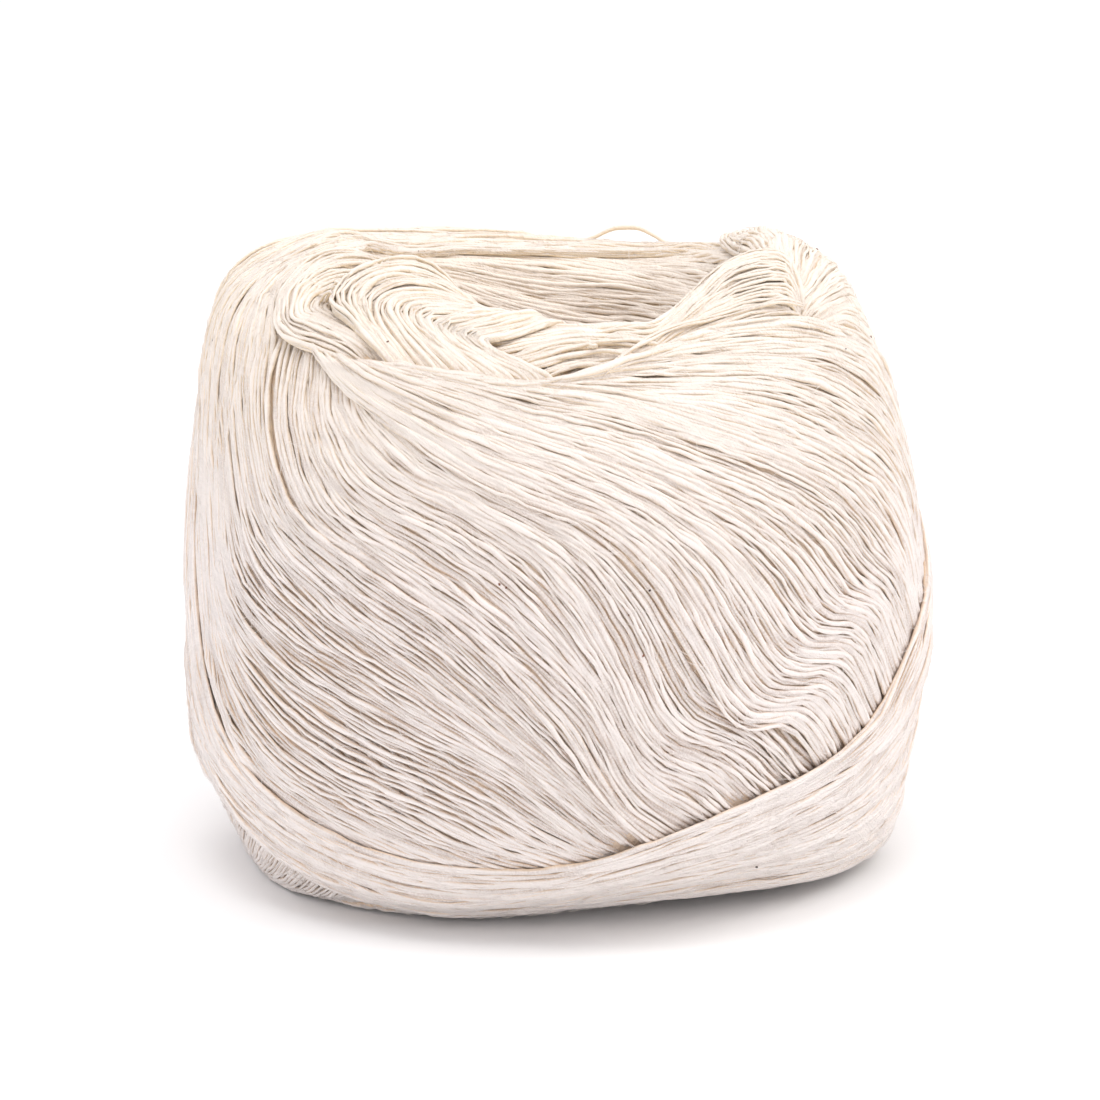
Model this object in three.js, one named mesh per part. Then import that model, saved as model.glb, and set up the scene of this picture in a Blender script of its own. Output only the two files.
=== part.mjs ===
// A ball of natural cotton thread: a squat wound barrel with a hollow in its top, one solid.
// Millimetres, +Z up. The ball stands on z = 0 with its centre line on the Z axis.
// A place on the ball is given by two numbers. The azimuth in degrees is 0 at the front (-Y), 90 at the
// right (+X), 180 at the back and 270, or -90, at the left. The run counts the stations of the outline,
// from the bottom of the hollow over the rim and down the side to the middle of the underside.

import * as THREE from 'three';
import { mergeVertices } from 'three/addons/utils/BufferGeometryUtils.js';

// Driving dimensions
const HOLLOW_DEPTH_Z = 40;        // height of the hollow's floor
const HOLLOW_FLOOR_RADIUS = 5;
const THROAT_Z = 49;
const LIP_Z = 57;
const LIP_OUTSIDE_THROAT = 2.7;   // how much wider the lip is than the throat
const RIM_SWELL_OUT = 1.0;        // how far the rim bulges past the chord from crest to shoulder
const RIM_SWELL_UP = 2.6;
const UPPER_SIDE_Z = 41;
const BELLY_Z = 25;
const LOWER_SIDE_Z = 10;
const FOOT_ROUNDING = 4;          // from the foot in to the flat spot that the ball rests on

// The outline at each azimuth: radius and height of the places where the wound form changes
const FORM_COLUMNS = ['azimuth', 'throatR', 'crestR', 'crestZ', 'shoulderR', 'shoulderZ',
  'upperR', 'bellyR', 'lowerR', 'footR', 'footZ'];
const FORM_ROWS = [
  [0, 9, 17, 60.4, 34.3, 52, 38.4, 39.4, 36.8, 29.0, 2.5],
  [30, 9, 17, 60.8, 34.3, 52, 38.4, 39.4, 37.2, 31.5, 3.6],
  [60, 10, 19, 63.6, 33.2, 54, 37.8, 39.2, 37.4, 35.0, 2.6],
  [90, 11, 20, 64.8, 31.9, 56.5, 36.9, 39.1, 36.8, 35.5, 1.8],
  [120, 11, 19, 63.3, 33.0, 55, 38.0, 39.2, 36.8, 33.0, 2.0],
  [150, 10, 18, 61.6, 34.3, 53, 38.3, 39.2, 36.8, 33.0, 2.0],
  [180, 9, 17, 61.6, 34.3, 53, 38.3, 39.2, 36.8, 33.0, 2.0],
  [210, 9, 17, 62.3, 34.8, 55, 38.3, 39.2, 36.8, 33.0, 2.0],
  [240, 10, 19, 63.2, 35.0, 57, 38.1, 39.2, 37.3, 33.0, 2.0],
  [270, 11, 20, 65.2, 35.5, 58.5, 38.1, 39.3, 38.2, 34.0, 2.0],
  [300, 10, 19, 64.0, 35.6, 56.8, 38.6, 39.5, 38.6, 34.5, 1.5],
  [330, 9, 18, 61.2, 35.2, 54, 38.8, 39.6, 37.8, 31.2, 1.0],
];
const FORM = FORM_ROWS.map((row) => Object.fromEntries(FORM_COLUMNS.map((name, i) => [name, row[i]])));

// The stations of the outline, in order. LAST_RUN is the middle of the underside.
const REST_RUN = 11;
const LAST_RUN = 12;

// The main twists: bundles of thread that stand proud of the form, each a sheaf of ridges side by side.
// Two or more guide lines bound a sheaf, each a row of [azimuth, run] from its start to its end, and the
// ridges run evenly between the first guide and the last. A ridge with a negative rise is a crease.
const SHEAVES = [
  {
    name: 'front sweep',
    ridges: 13,
    width: 2.3,
    rise: 0.7,
    guides: [
      [[-96, 5.6], [-90, 7.4], [-74, 8.6], [-48, 9.1], [-20, 9.3], [4, 9.4]],
      [[-70, 5.8], [-68, 7.2], [-50, 7.8], [-26, 8.2], [-8, 8.55], [6, 8.9]],
      [[-50, 5.7], [-46, 6.7], [-30, 7.05], [-10, 7.6], [3, 8.3], [15, 8.75]],
      [[-35, 5.5], [-26, 6.1], [-5, 6.4], [15, 7.0], [28, 7.9], [42, 8.25]],
      [[-28, 5.4], [-10, 5.6], [14, 5.9], [40, 6.6], [56, 7.4], [66, 7.9]],
      [[5, 5.1], [24, 5.05], [46, 5.2], [66, 5.7], [80, 6.5], [88, 7.4]],
    ],
  },
  {
    name: 'low band',
    ridges: 4,
    width: 3.2,
    rise: 0.9,
    guides: [
      [[-4, 9.2], [14, 9.0], [32, 8.75], [50, 8.5], [68, 8.1], [90, 7.3], [112, 6.4], [135, 5.6]],
      [[-30, 9.6], [0, 9.7], [30, 9.5], [60, 9.3], [85, 9.0], [110, 8.3], [135, 7.2], [160, 6.2]],
    ],
  },
  {
    name: 'groove above the low band',
    ridges: 1,
    width: 1.9,
    rise: -1.5,
    guides: [[[5, 8.95], [13, 8.75], [21, 8.6], [31, 8.45], [44, 8.3], [56, 8.0], [68, 7.7]]],
  },
  {
    name: 'turn over the left of the rim',
    ridges: 4,
    width: 2.0,
    rise: 0.7,
    guides: [
      [[-150, 4.5], [-115, 4.6], [-85, 4.9], [-66, 5.3], [-54, 5.5], [-42, 5.4]],
      [[-150, 5.2], [-118, 5.5], [-92, 5.8], [-78, 6.4], [-72, 7.0], [-70, 7.6]],
    ],
  },
  {
    name: 'crease in the left of the rim',
    ridges: 1,
    width: 1.6,
    rise: -1.3,
    guides: [[[-78, 4.9], [-70, 5.2], [-62, 5.5], [-55, 5.7]]],
  },
  {
    name: 'crease beside the left curl',
    ridges: 1,
    width: 1.5,
    rise: -1.0,
    guides: [[[-62, 4.4], [-56, 4.7], [-51, 4.95]]],
  },
  {
    name: 'left curl',
    ridges: 3,
    width: 1.9,
    rise: 0.6,
    guides: [
      [[-66, 4.1], [-50, 4.4], [-38, 4.8], [-30, 5.15]],
      [[-70, 3.6], [-46, 3.9], [-28, 4.3], [-12, 4.8]],
    ],
  },
  {
    name: 'edge of the front sweep on the rim',
    ridges: 1,
    width: 1.7,
    rise: -1.0,
    guides: [[[-34, 5.3], [-18, 5.3], [-2, 5.25], [13, 4.97], [30, 4.65], [48, 4.7]]],
  },
  {
    name: 'knuckle on the right of the rim',
    ridges: 3,
    width: 2.2,
    rise: 0.6,
    guides: [
      [[34, 4.1], [44, 4.3], [54, 4.6], [60, 4.9]],
      [[62, 3.7], [72, 4.0], [74, 4.4], [68, 4.8]],
    ],
  },
  {
    name: 'crease beside the knuckle',
    ridges: 1,
    width: 2.0,
    rise: -1.2,
    guides: [[[88, 4.4], [74, 4.6], [64, 4.85], [56, 4.95]]],
  },
  {
    name: 'fan over the right of the rim',
    ridges: 4,
    width: 2.2,
    rise: 0.6,
    guides: [
      [[92, 3.7], [96, 4.5], [98, 5.4], [100, 6.4], [104, 7.2]],
      [[70, 5.0], [76, 5.4], [82, 5.9], [88, 6.5], [94, 7.2]],
    ],
  },
  {
    name: 'far rim',
    ridges: 4,
    width: 2.0,
    rise: 0.6,
    guides: [
      [[250, 3.4], [220, 3.0], [190, 2.9], [160, 3.0], [132, 3.2]],
      [[262, 5.0], [230, 4.9], [200, 4.7], [165, 4.5], [130, 4.4]],
    ],
  },
  {
    name: 'back sweep',
    ridges: 10,
    width: 2.4,
    rise: 0.7,
    guides: [
      [[126, 5.2], [140, 6.2], [162, 7.4], [190, 8.6], [214, 9.4]],
      [[170, 5.3], [186, 6.2], [206, 7.2], [226, 8.2], [244, 9.2]],
      [[226, 5.5], [238, 6.2], [248, 7.0], [256, 7.8], [262, 8.6]],
    ],
  },
];

// Mesh of the solid
const AROUND_STEPS = 112;
const RUN_STEPS = [[0, 4, 9], [4, 10, 25], [10, 11, 2], [11, 12, 1]];   // from run, to run, steps
const GUIDE_STEPS = 24;
const RELIEF_FADES_BELOW_Z = 5;   // twists flatten out towards the surface that the ball stands on

// One coordinate of the smooth curve through b and c, with a and d as its neighbours
function smooth(a, b, c, d, t) {
  return 0.5 * (2 * b + (c - a) * t + (2 * a - 5 * b + 4 * c - d) * t * t + (3 * b - a - 3 * c + d) * t ** 3);
}

// A smooth curve through a list of [x, y] pairs, with t from 0 to 1
function curveThrough(pairs, t) {
  const place = Math.min(Math.max(t, 0), 1) * (pairs.length - 1);
  const i = Math.min(Math.floor(place), pairs.length - 2);
  const pick = (k) => pairs[Math.min(Math.max(k, 0), pairs.length - 1)];
  return [0, 1].map((axis) => smooth(...[-1, 0, 1, 2].map((k) => pick(i + k)[axis]), place - i));
}

// The form's values at an azimuth, eased between the rows of the table
function formAt(azimuth) {
  const count = FORM.length;
  const place = (((azimuth % 360) + 360) % 360) / (360 / count);
  const i = Math.floor(place);
  const values = {};
  for (const name of FORM_COLUMNS.slice(1)) {
    values[name] = smooth(...[-1, 0, 1, 2].map((k) => FORM[(i + k + count) % count][name]), place - i);
  }
  return values;
}

// The stations of the outline at an azimuth, as [radius, height]
function stationsAt(azimuth) {
  const f = formAt(azimuth);
  const rim = [(f.crestR + f.shoulderR) / 2 + RIM_SWELL_OUT, (f.crestZ + f.shoulderZ) / 2 + RIM_SWELL_UP];
  return [
    [0, HOLLOW_DEPTH_Z],
    [HOLLOW_FLOOR_RADIUS, HOLLOW_DEPTH_Z + 1],
    [f.throatR, THROAT_Z],
    [f.throatR + LIP_OUTSIDE_THROAT, LIP_Z],
    [f.crestR, f.crestZ],
    rim,
    [f.shoulderR, f.shoulderZ],
    [f.upperR, UPPER_SIDE_Z],
    [f.bellyR, BELLY_Z],
    [f.lowerR, LOWER_SIDE_Z],
    [f.footR, f.footZ],
    [f.footR - FOOT_ROUNDING - f.footZ, 0],
    [0, 0],
  ];
}

// The point of the plain wound form at an azimuth and a run
function formPoint(azimuth, run) {
  const stations = stationsAt(azimuth);
  const mirrored = (k) => [-stations[Math.abs(k)][0], stations[Math.abs(k)][1]];
  const pick = (k) => {
    if (k < 0) return mirrored(k);
    if (k > LAST_RUN) return mirrored(2 * LAST_RUN - k);
    return stations[k];
  };
  const i = Math.min(Math.floor(run), LAST_RUN - 1);
  const [radius, height] = [0, 1].map((axis) => smooth(...[-1, 0, 1, 2].map((k) => pick(i + k)[axis]), run - i));
  const angle = THREE.MathUtils.degToRad(azimuth);
  const r = run <= 0 || run >= LAST_RUN ? 0 : Math.max(radius, 0);
  const z = run >= REST_RUN ? 0 : Math.max(height, 0);
  return new THREE.Vector3(r * Math.sin(angle), -r * Math.cos(angle), z);
}

// The way out of the form at a place on it
function formNormal(azimuth, run) {
  const across = formPoint(azimuth + 1, run).sub(formPoint(azimuth - 1, run));
  const along = formPoint(azimuth, Math.min(run + 0.05, LAST_RUN)).sub(formPoint(azimuth, Math.max(run - 0.05, 0)));
  return along.cross(across).normalize();
}

// The ridges of a sheaf, each a list of points on the form
function ridgesOf(sheaf) {
  const lines = [];
  for (let k = 0; k < sheaf.ridges; k += 1) {
    const share = sheaf.ridges > 1 ? k / (sheaf.ridges - 1) : 0;
    const points = [];
    for (let step = 0; step <= GUIDE_STEPS; step += 1) {
      const across = sheaf.guides.map((guide) => curveThrough(guide, step / GUIDE_STEPS));
      const [azimuth, run] = across.length > 1 ? curveThrough(across, share) : across[0];
      points.push(formPoint(azimuth, run));
    }
    lines.push(points);
  }
  return lines;
}

const RIDGES = SHEAVES.flatMap((sheaf) => ridgesOf(sheaf).map((points) => ({ ...sheaf, points })));

// How far a point of the form stands out: the highest ridge that passes near it and the deepest crease
function reliefAt(point) {
  const segment = new THREE.Line3();
  const nearest = new THREE.Vector3();
  let ridgeHeight = 0;
  let creaseDepth = 0;
  for (const ridge of RIDGES) {
    let distance = Infinity;
    for (let i = 1; i < ridge.points.length; i += 1) {
      segment.set(ridge.points[i - 1], ridge.points[i]);
      segment.closestPointToPoint(point, true, nearest);
      distance = Math.min(distance, nearest.distanceTo(point));
    }
    const relief = ridge.rise * Math.exp(-((distance / ridge.width) ** 2));
    ridgeHeight = Math.max(ridgeHeight, relief);
    creaseDepth = Math.min(creaseDepth, relief);
  }
  return ridgeHeight + creaseDepth;
}

// The runs at which the outline is cut into rings of points, from the underside up, as a lathe turns it
function ringRuns() {
  const runs = [0];
  for (const [from, to, steps] of RUN_STEPS) {
    for (let i = 1; i <= steps; i += 1) runs.push(from + ((to - from) * i) / steps);
  }
  return runs.reverse();
}

// The wound form turned as a lathe shape, then each point set to its azimuth's outline and raised
function buildBall() {
  const runs = ringRuns();
  const outline = runs.map((run) => {
    const p = formPoint(0, run);
    return new THREE.Vector2(-p.y, p.z);
  });
  const geometry = new THREE.LatheGeometry(outline, AROUND_STEPS);
  geometry.deleteAttribute('normal');
  geometry.deleteAttribute('uv');
  const position = geometry.getAttribute('position');
  for (let around = 0; around <= AROUND_STEPS; around += 1) {
    const azimuth = ((around % AROUND_STEPS) * 360) / AROUND_STEPS;
    runs.forEach((run, ring) => {
      const point = formPoint(azimuth, run);
      const rests = run >= REST_RUN;
      if (!rests && run > 0) {
        const fade = Math.min(point.z / RELIEF_FADES_BELOW_Z, 1);
        point.addScaledVector(formNormal(azimuth, run), reliefAt(point) * fade);
        point.z = Math.max(point.z, 0);
      }
      position.setXYZ(around * runs.length + ring, point.x, point.y, point.z);
    });
  }
  const closed = mergeVertices(geometry, 1e-4);
  closed.computeVertexNormals();
  return closed;
}

const cotton = new THREE.MeshStandardMaterial({ color: 0xece3d6, roughness: 0.95, metalness: 0 });
const ball = new THREE.Mesh(buildBall(), cotton);
ball.name = 'thread_ball';

const part = new THREE.Group();
part.add(ball);

export default part;
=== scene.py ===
# %% [markdown]
# # A wound ball of raw cotton thread
# The object is a few hundred metres of coarse, single-ply, undyed cotton, wound into a squat ball with a
# hollow at the top. Nothing is hidden under a skin: what is seen is the thread itself, laid in bundles that
# cross, turn and dive under one another. So the ball is built as it was wound. A smooth core gives the body,
# and every bundle is laid on what lies there already, from the lowest to the last one.

# %% Load the fixed frame
import math

import bmesh
import bpy
import numpy as np
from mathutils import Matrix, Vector


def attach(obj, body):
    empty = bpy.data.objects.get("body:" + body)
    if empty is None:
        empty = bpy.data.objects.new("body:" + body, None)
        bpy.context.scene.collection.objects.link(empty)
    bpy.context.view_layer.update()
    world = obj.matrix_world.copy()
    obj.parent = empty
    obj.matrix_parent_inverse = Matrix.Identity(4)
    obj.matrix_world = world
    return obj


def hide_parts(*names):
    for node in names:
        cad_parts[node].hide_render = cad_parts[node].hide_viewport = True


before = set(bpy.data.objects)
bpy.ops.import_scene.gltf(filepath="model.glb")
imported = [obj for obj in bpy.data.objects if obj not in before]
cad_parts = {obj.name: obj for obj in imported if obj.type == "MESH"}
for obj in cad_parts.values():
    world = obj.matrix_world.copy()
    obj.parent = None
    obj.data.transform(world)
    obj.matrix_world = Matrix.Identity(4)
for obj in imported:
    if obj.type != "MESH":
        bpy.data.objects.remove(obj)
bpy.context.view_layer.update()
MM = 0.001
chance = np.random.default_rng(31)


def in_scene(name, data):
    """A new object in the scene, for a mesh, a lamp or a camera."""
    made = bpy.data.objects.new(name, data)
    bpy.context.scene.collection.objects.link(made)
    return made


# %% [markdown]
# ## Camera
# The ball was photographed from a little above, with a long lens. The camera goes in first. It looks down by
# 15 degrees at a point close to the middle of the ball.

# %% Camera
CAMERA_ELEVATION = math.radians(15)
CAMERA_DISTANCE = 450 * MM
AIM = np.array((-1.06, 0.0, 32.1)) * MM
FRAME_PIXELS = 1100
PIXELS_PER_MM = 9.416
camera_data = bpy.data.cameras.new("long lens")
camera_data.sensor_width = 36
camera_data.lens = PIXELS_PER_MM * (CAMERA_DISTANCE / MM) / FRAME_PIXELS * camera_data.sensor_width
camera_data.clip_start = 10 * MM
camera = in_scene("long lens", camera_data)
toward_camera = np.array((0, -math.cos(CAMERA_ELEVATION), math.sin(CAMERA_ELEVATION)))
camera.location = AIM + CAMERA_DISTANCE * toward_camera
camera.rotation_euler = (math.pi / 2 - CAMERA_ELEVATION, 0, 0)
bpy.context.scene.camera = camera
print("lens", round(camera_data.lens, 1), "mm")

# %% [markdown]
# ## The wound form
# A thread is hard to place in x, y and z, and easy to place on the ball itself. Two numbers say where: the
# azimuth, in degrees around the ball from the front, and the run, which counts sections from the floor of the
# hollow (0) up its wall, over the rim (4 to 5), down the side (6 to 10) and under the ball (12). The table
# gives the radius or height of each section, in millimetres, at twelve azimuths. A smooth curve through the
# table's rows and sections is the form.

# %% The form's table
FORM_COLUMNS = ("azimuth", "throat", "crest", "crest height", "shoulder", "shoulder height",
                "upper side", "belly", "lower side", "foot", "foot height")
FORM_ROWS = np.array((
    (0, 9, 17, 60.4, 34.3, 52, 38.4, 39.4, 36.8, 29.0, 2.5),
    (30, 9, 17, 60.8, 34.3, 52, 38.4, 39.4, 37.2, 31.5, 3.6),
    (60, 10, 19, 63.6, 33.2, 54, 37.8, 39.2, 37.4, 35.0, 2.6),
    (90, 11, 20, 64.8, 31.9, 56.5, 36.9, 39.1, 36.8, 35.5, 1.8),
    (120, 11, 19, 63.3, 33.0, 55, 38.0, 39.2, 36.8, 33.0, 2.0),
    (150, 10, 18, 61.6, 34.3, 53, 38.3, 39.2, 36.8, 33.0, 2.0),
    (180, 9, 17, 61.6, 34.3, 53, 38.3, 39.2, 36.8, 33.0, 2.0),
    (210, 9, 17, 62.3, 34.8, 55, 38.3, 39.2, 36.8, 33.0, 2.0),
    (240, 10, 19, 63.2, 35.0, 57, 38.1, 39.2, 37.3, 33.0, 2.0),
    (270, 11, 20, 65.2, 35.5, 58.5, 38.1, 39.3, 38.2, 34.0, 2.0),
    (300, 10, 19, 64.0, 35.6, 56.8, 38.6, 39.5, 38.6, 34.5, 1.5),
    (330, 9, 18, 61.2, 35.2, 54, 38.8, 39.6, 37.8, 31.2, 1.0),
))
HOLLOW_DEPTH_Z = 40
HOLLOW_FLOOR_RADIUS = 5
THROAT_Z = 49
LIP_Z = 57
LIP_OUTSIDE_THROAT = 2.7
RIM_SWELL_OUT = 1.0
RIM_SWELL_UP = 2.6
UPPER_SIDE_Z = 41
BELLY_Z = 25
LOWER_SIDE_Z = 10
FOOT_ROUNDING = 4
LAST_RUN = 12
print("form table:", len(FORM_ROWS), "azimuths, each with", ", ".join(FORM_COLUMNS[1:]))

# %% [markdown]
# The curve is a Catmull-Rom spline, which passes through every value that it is given. Blender has splines of
# its own, but here the same formula is used for the form, for the threads and for the sheets of threads, on
# whole arrays at once, so it is written out.

# %% The smooth curve and the form's grid
def curve_weights(share):
    """How much the value before, the two around and the value after count, at a share between two values."""
    return (
        -0.5 * share + share**2 - 0.5 * share**3,
        1 - 2.5 * share**2 + 1.5 * share**3,
        0.5 * share + 2 * share**2 - 1.5 * share**3,
        -0.5 * share**2 + 0.5 * share**3,
    )


def form_row(azimuth):
    """The table's values at any azimuth."""
    place = (azimuth % 360) / 360 * len(FORM_ROWS)
    first = int(place)
    weights = curve_weights(place - first)
    rows = [FORM_ROWS[(first + step) % len(FORM_ROWS), 1:] for step in (-1, 0, 1, 2)]
    return sum(weight * row for weight, row in zip(weights, rows))


def form_sections(azimuth):
    """Radius and height of the thirteen sections of the profile, from the hollow's floor to the underside."""
    throat, crest, crest_z, shoulder, shoulder_z, upper, belly, lower, foot, foot_z = form_row(azimuth)
    swell = ((crest + shoulder) / 2 + RIM_SWELL_OUT, (crest_z + shoulder_z) / 2 + RIM_SWELL_UP)
    return np.array((
        (0, HOLLOW_DEPTH_Z), (HOLLOW_FLOOR_RADIUS, HOLLOW_DEPTH_Z + 1), (throat, THROAT_Z),
        (throat + LIP_OUTSIDE_THROAT, LIP_Z), (crest, crest_z), swell, (shoulder, shoulder_z),
        (upper, UPPER_SIDE_Z), (belly, BELLY_Z), (lower, LOWER_SIDE_Z), (foot, foot_z),
        (foot - FOOT_ROUNDING - foot_z, 0), (0, 0),
    ))


AZIMUTH_CELLS = 360
RUN_CELLS_EACH = 40
RUN_CELLS = LAST_RUN * RUN_CELLS_EACH


def form_grid():
    """Points of the form, all around and along the whole profile."""
    sections = np.array([form_sections(360 * cell / AZIMUTH_CELLS) for cell in range(AZIMUTH_CELLS)])
    mirrored = sections[:, 1:2] * (-1, 1)
    below = sections[:, -2:-1] * (-1, 1)
    padded = np.concatenate((mirrored, sections, below), axis=1)
    run = np.arange(RUN_CELLS + 1) / RUN_CELLS_EACH
    first = np.minimum(run.astype(int), LAST_RUN - 1)
    weights = curve_weights(run - first)
    profile = sum(weight[:, None] * padded[:, first + step] for step, weight in enumerate(weights))
    radius, height = np.maximum(profile[..., 0], 0), np.maximum(profile[..., 1], 0)
    turn = np.radians(np.arange(AZIMUTH_CELLS) * 360 / AZIMUTH_CELLS)[:, None]
    return np.stack((radius * np.sin(turn), -radius * np.cos(turn), height), axis=-1)


def unit(vectors):
    """The same directions with length 1."""
    return vectors / np.maximum(np.linalg.norm(vectors, axis=-1, keepdims=True), 1e-9)


form = form_grid()
around = np.roll(form, -1, axis=0) - np.roll(form, 1, axis=0)
outward = unit(np.cross(np.gradient(form, axis=1), around))
outward[:, 0] = (0, 0, 1)
outward[:, -1] = (0, 0, -1)
print("form", form.shape, "from", form.min((0, 1)).round(1), "to", form.max((0, 1)).round(1), "mm")

# %% [markdown]
# ## Laying thread on thread
# Real thread is pulled tight over what is already wound. A height field does this here: for every place on
# the core it holds how high the winding stands so far. A new bundle reads it, bridges the dips as a tight
# thread does, and then raises it by its own thickness. A full simulation of so much thread would take hours,
# and modelling each crossing by hand would never end.

# %% The core and the height of the winding
WINDING_DEPTH = 2.0
PILE_COLUMNS = ("azimuth", "run", "half width in degrees", "half width in runs", "height in mm")
PILES = (
    (-92, 6.1, 42, 0.9, 1.4),
    (-90, 7.5, 32, 0.5, -0.5),
    (-75, 9.7, 38, 0.8, -1.0),
    (72, 5.9, 40, 1.0, 0.9),
    (95, 6.8, 36, 0.6, 0.8),
    (94, 8.9, 38, 0.8, 1.3),
)
core = form - outward * WINDING_DEPTH


def piled_up():
    """The height that the winding starts from: older turns pile up here and leave dips there."""
    azimuth = np.arange(AZIMUTH_CELLS)[:, None] * 360 / AZIMUTH_CELLS
    run = np.arange(RUN_CELLS + 1)[None, :] / RUN_CELLS_EACH
    total = np.zeros(form.shape[:2])
    for middle, middle_run, degrees, runs, height in PILES:
        aside = (azimuth - middle + 180) % 360 - 180
        total = total + height * np.exp(-((aside / degrees) ** 2) - ((run - middle_run) / runs) ** 2)
    return total


winding_height = piled_up()
print("older turns:", len(PILES), "piles and dips, each with", ", ".join(PILE_COLUMNS))


def read_grid(grid, azimuth, run):
    """The grid's value at any azimuth and run, between its cells too."""
    column = (azimuth % 360) * (AZIMUTH_CELLS / 360)
    left = np.floor(column).astype(int)
    row = np.clip(run, 0, LAST_RUN) * RUN_CELLS_EACH
    upper = np.minimum(row.astype(int), RUN_CELLS - 1)
    across, down = column - left, row - upper
    left, right = left % AZIMUTH_CELLS, (left + 1) % AZIMUTH_CELLS
    if grid.ndim == 3:
        across, down = across[..., None], down[..., None]
    top = grid[left, upper] * (1 - across) + grid[right, upper] * across
    bottom = grid[left, upper + 1] * (1 - across) + grid[right, upper + 1] * across
    return top * (1 - down) + bottom * down


def pulled_tight(heights, reach):
    """A tight thread's heights over bumpy ground: it keeps to the tops and leaves the dips."""
    shifted = np.pad(heights, ((0, 0), (reach, reach)), mode="edge")
    steps = range(2 * reach + 1)
    count = heights.shape[1]
    tops = np.max([shifted[:, step:step + count] for step in steps], axis=0)
    shifted = np.pad(tops, ((0, 0), (reach, reach)), mode="edge")
    return np.mean([shifted[:, step:step + count] for step in steps], axis=0)


# %% [markdown]
# ## A bundle of threads
# A few guide threads, read off the photograph, say how a bundle runs. Each place of a guide gives the
# azimuth, the run and, where the bundle stands up, how far it rises in millimetres. All guides of a bundle
# have the same number of places, so they span a smooth sheet, and the threads between them follow it.

# %% The sheet through the guides
def sheet_of(guides):
    """The guides as an array of azimuth, run and rise."""
    return np.array([[(*place, 0.0)[:3] for place in guide] for guide in guides], float)


def on_sheet(guides, across, along):
    """Azimuth, run and rise at shares across and along a bundle."""
    def cells(share, count):
        place = np.clip(share, 0, 1) * (count - 1)
        first = np.minimum(place.astype(int), count - 2)
        return first, curve_weights(place - first)

    rows, knots = guides.shape[:2]
    first_row, row_weights = cells(across, rows)
    first_knot, knot_weights = cells(along, knots)
    total = 0
    for row in range(4):
        near_row = np.clip(first_row + row - 1, 0, rows - 1)
        for knot in range(4):
            near_knot = np.clip(first_knot + knot - 1, 0, knots - 1)
            weight = row_weights[row] * knot_weights[knot]
            total = total + weight[..., None] * guides[near_row, near_knot]
    return total[..., 0], total[..., 1], total[..., 2]


# %% [markdown]
# No thread runs quite true. Neighbours drift together in slow waves, each thread has small waves of its own,
# and hand-spun cotton gets thick and thin, with soft slubs.

# %% Waves, drift and slubs
WAVE_PARTS = 5
DRIFT_PARTS = 6
SLUB_EVERY = 45
SLUB_HALF_LENGTHS = (1.2, 4.5)
SLUB_SWELLINGS = (0.05, 0.7)
SLUB_CURVE = 1.5


def waves(count, lengths, shortest, longest):
    """Smooth random lines, one for each thread. lengths are the places along it, in mm."""
    total = 0
    for _ in range(WAVE_PARTS):
        wave_length = chance.uniform(shortest, longest, (count, 1))
        total = total + np.sin(2 * math.pi * (lengths / wave_length + chance.random((count, 1))))
    return total / math.sqrt(WAVE_PARTS / 2)


def drift(aside, lengths, shortest, longest):
    """A smooth random field over a whole bundle, in which neighbouring threads move together."""
    total = 0
    for _ in range(DRIFT_PARTS):
        wave_aside, wave_along = chance.uniform(shortest, longest, 2)
        lean = chance.choice((-1, 1))
        turns = lean * aside / wave_aside + lengths / wave_along + chance.random()
        total = total + np.sin(2 * math.pi * turns)
    return total / math.sqrt(DRIFT_PARTS / 2)


def slubs(count, lengths):
    """The thick places in hand-spun thread: a few soft swellings on each."""
    total = np.zeros(lengths.shape)
    longest = lengths.max()
    for _ in range(max(1, int(longest / SLUB_EVERY))):
        middle = chance.uniform(0, longest, (count, 1))
        half_length = chance.uniform(*SLUB_HALF_LENGTHS, (count, 1))
        swelling = chance.uniform(*SLUB_SWELLINGS, (count, 1)) ** SLUB_CURVE
        total = total + swelling * np.exp(-(((lengths - middle) / half_length) ** 2))
    return total


# %% [markdown]
# The next cells are the winding machine, which takes the guides and lays one bundle. First the bundle is
# measured. Its sheet bends, widens and narrows, so its lengths and widths are taken on a grid of places.

# %% Measure a bundle
PLACES_EACH_GUIDE = 8
PLACES_ALONG = 121
LEAST_ROOM = 0.5
USUAL_ROOM_PERCENTILE = 78


def measured_sheet(guides):
    """A bundle's sheet with its threads' lengths and its room across at each place, in mm."""
    across = np.linspace(0, 1, PLACES_EACH_GUIDE * (len(guides) - 1) + 1)
    along = np.linspace(0, 1, PLACES_ALONG)
    places = read_grid(form, *on_sheet(guides, across[:, None], along[None, :])[:2])
    steps = np.linalg.norm(np.diff(places, axis=1), axis=-1)
    travelled = np.concatenate((np.zeros((len(across), 1)), steps.cumsum(1)), axis=1)
    direction = unit(np.gradient(places, axis=1))
    apart = np.gradient(places, axis=0) * (len(across) - 1)
    apart = apart - direction * (apart * direction).sum(-1, keepdims=True)
    room = np.maximum(np.linalg.norm(apart, axis=-1), LEAST_ROOM)
    usual = np.percentile(room, USUAL_ROOM_PERCENTILE, axis=1)
    widths = np.concatenate(([0], ((usual[1:] + usual[:-1]) / 2 * np.diff(across)).cumsum()))
    return dict(guides=guides, across=across, along=along, travelled=travelled, room=room, usual=usual,
                widths=widths, width=widths[-1], length=travelled[:, -1].max())


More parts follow.
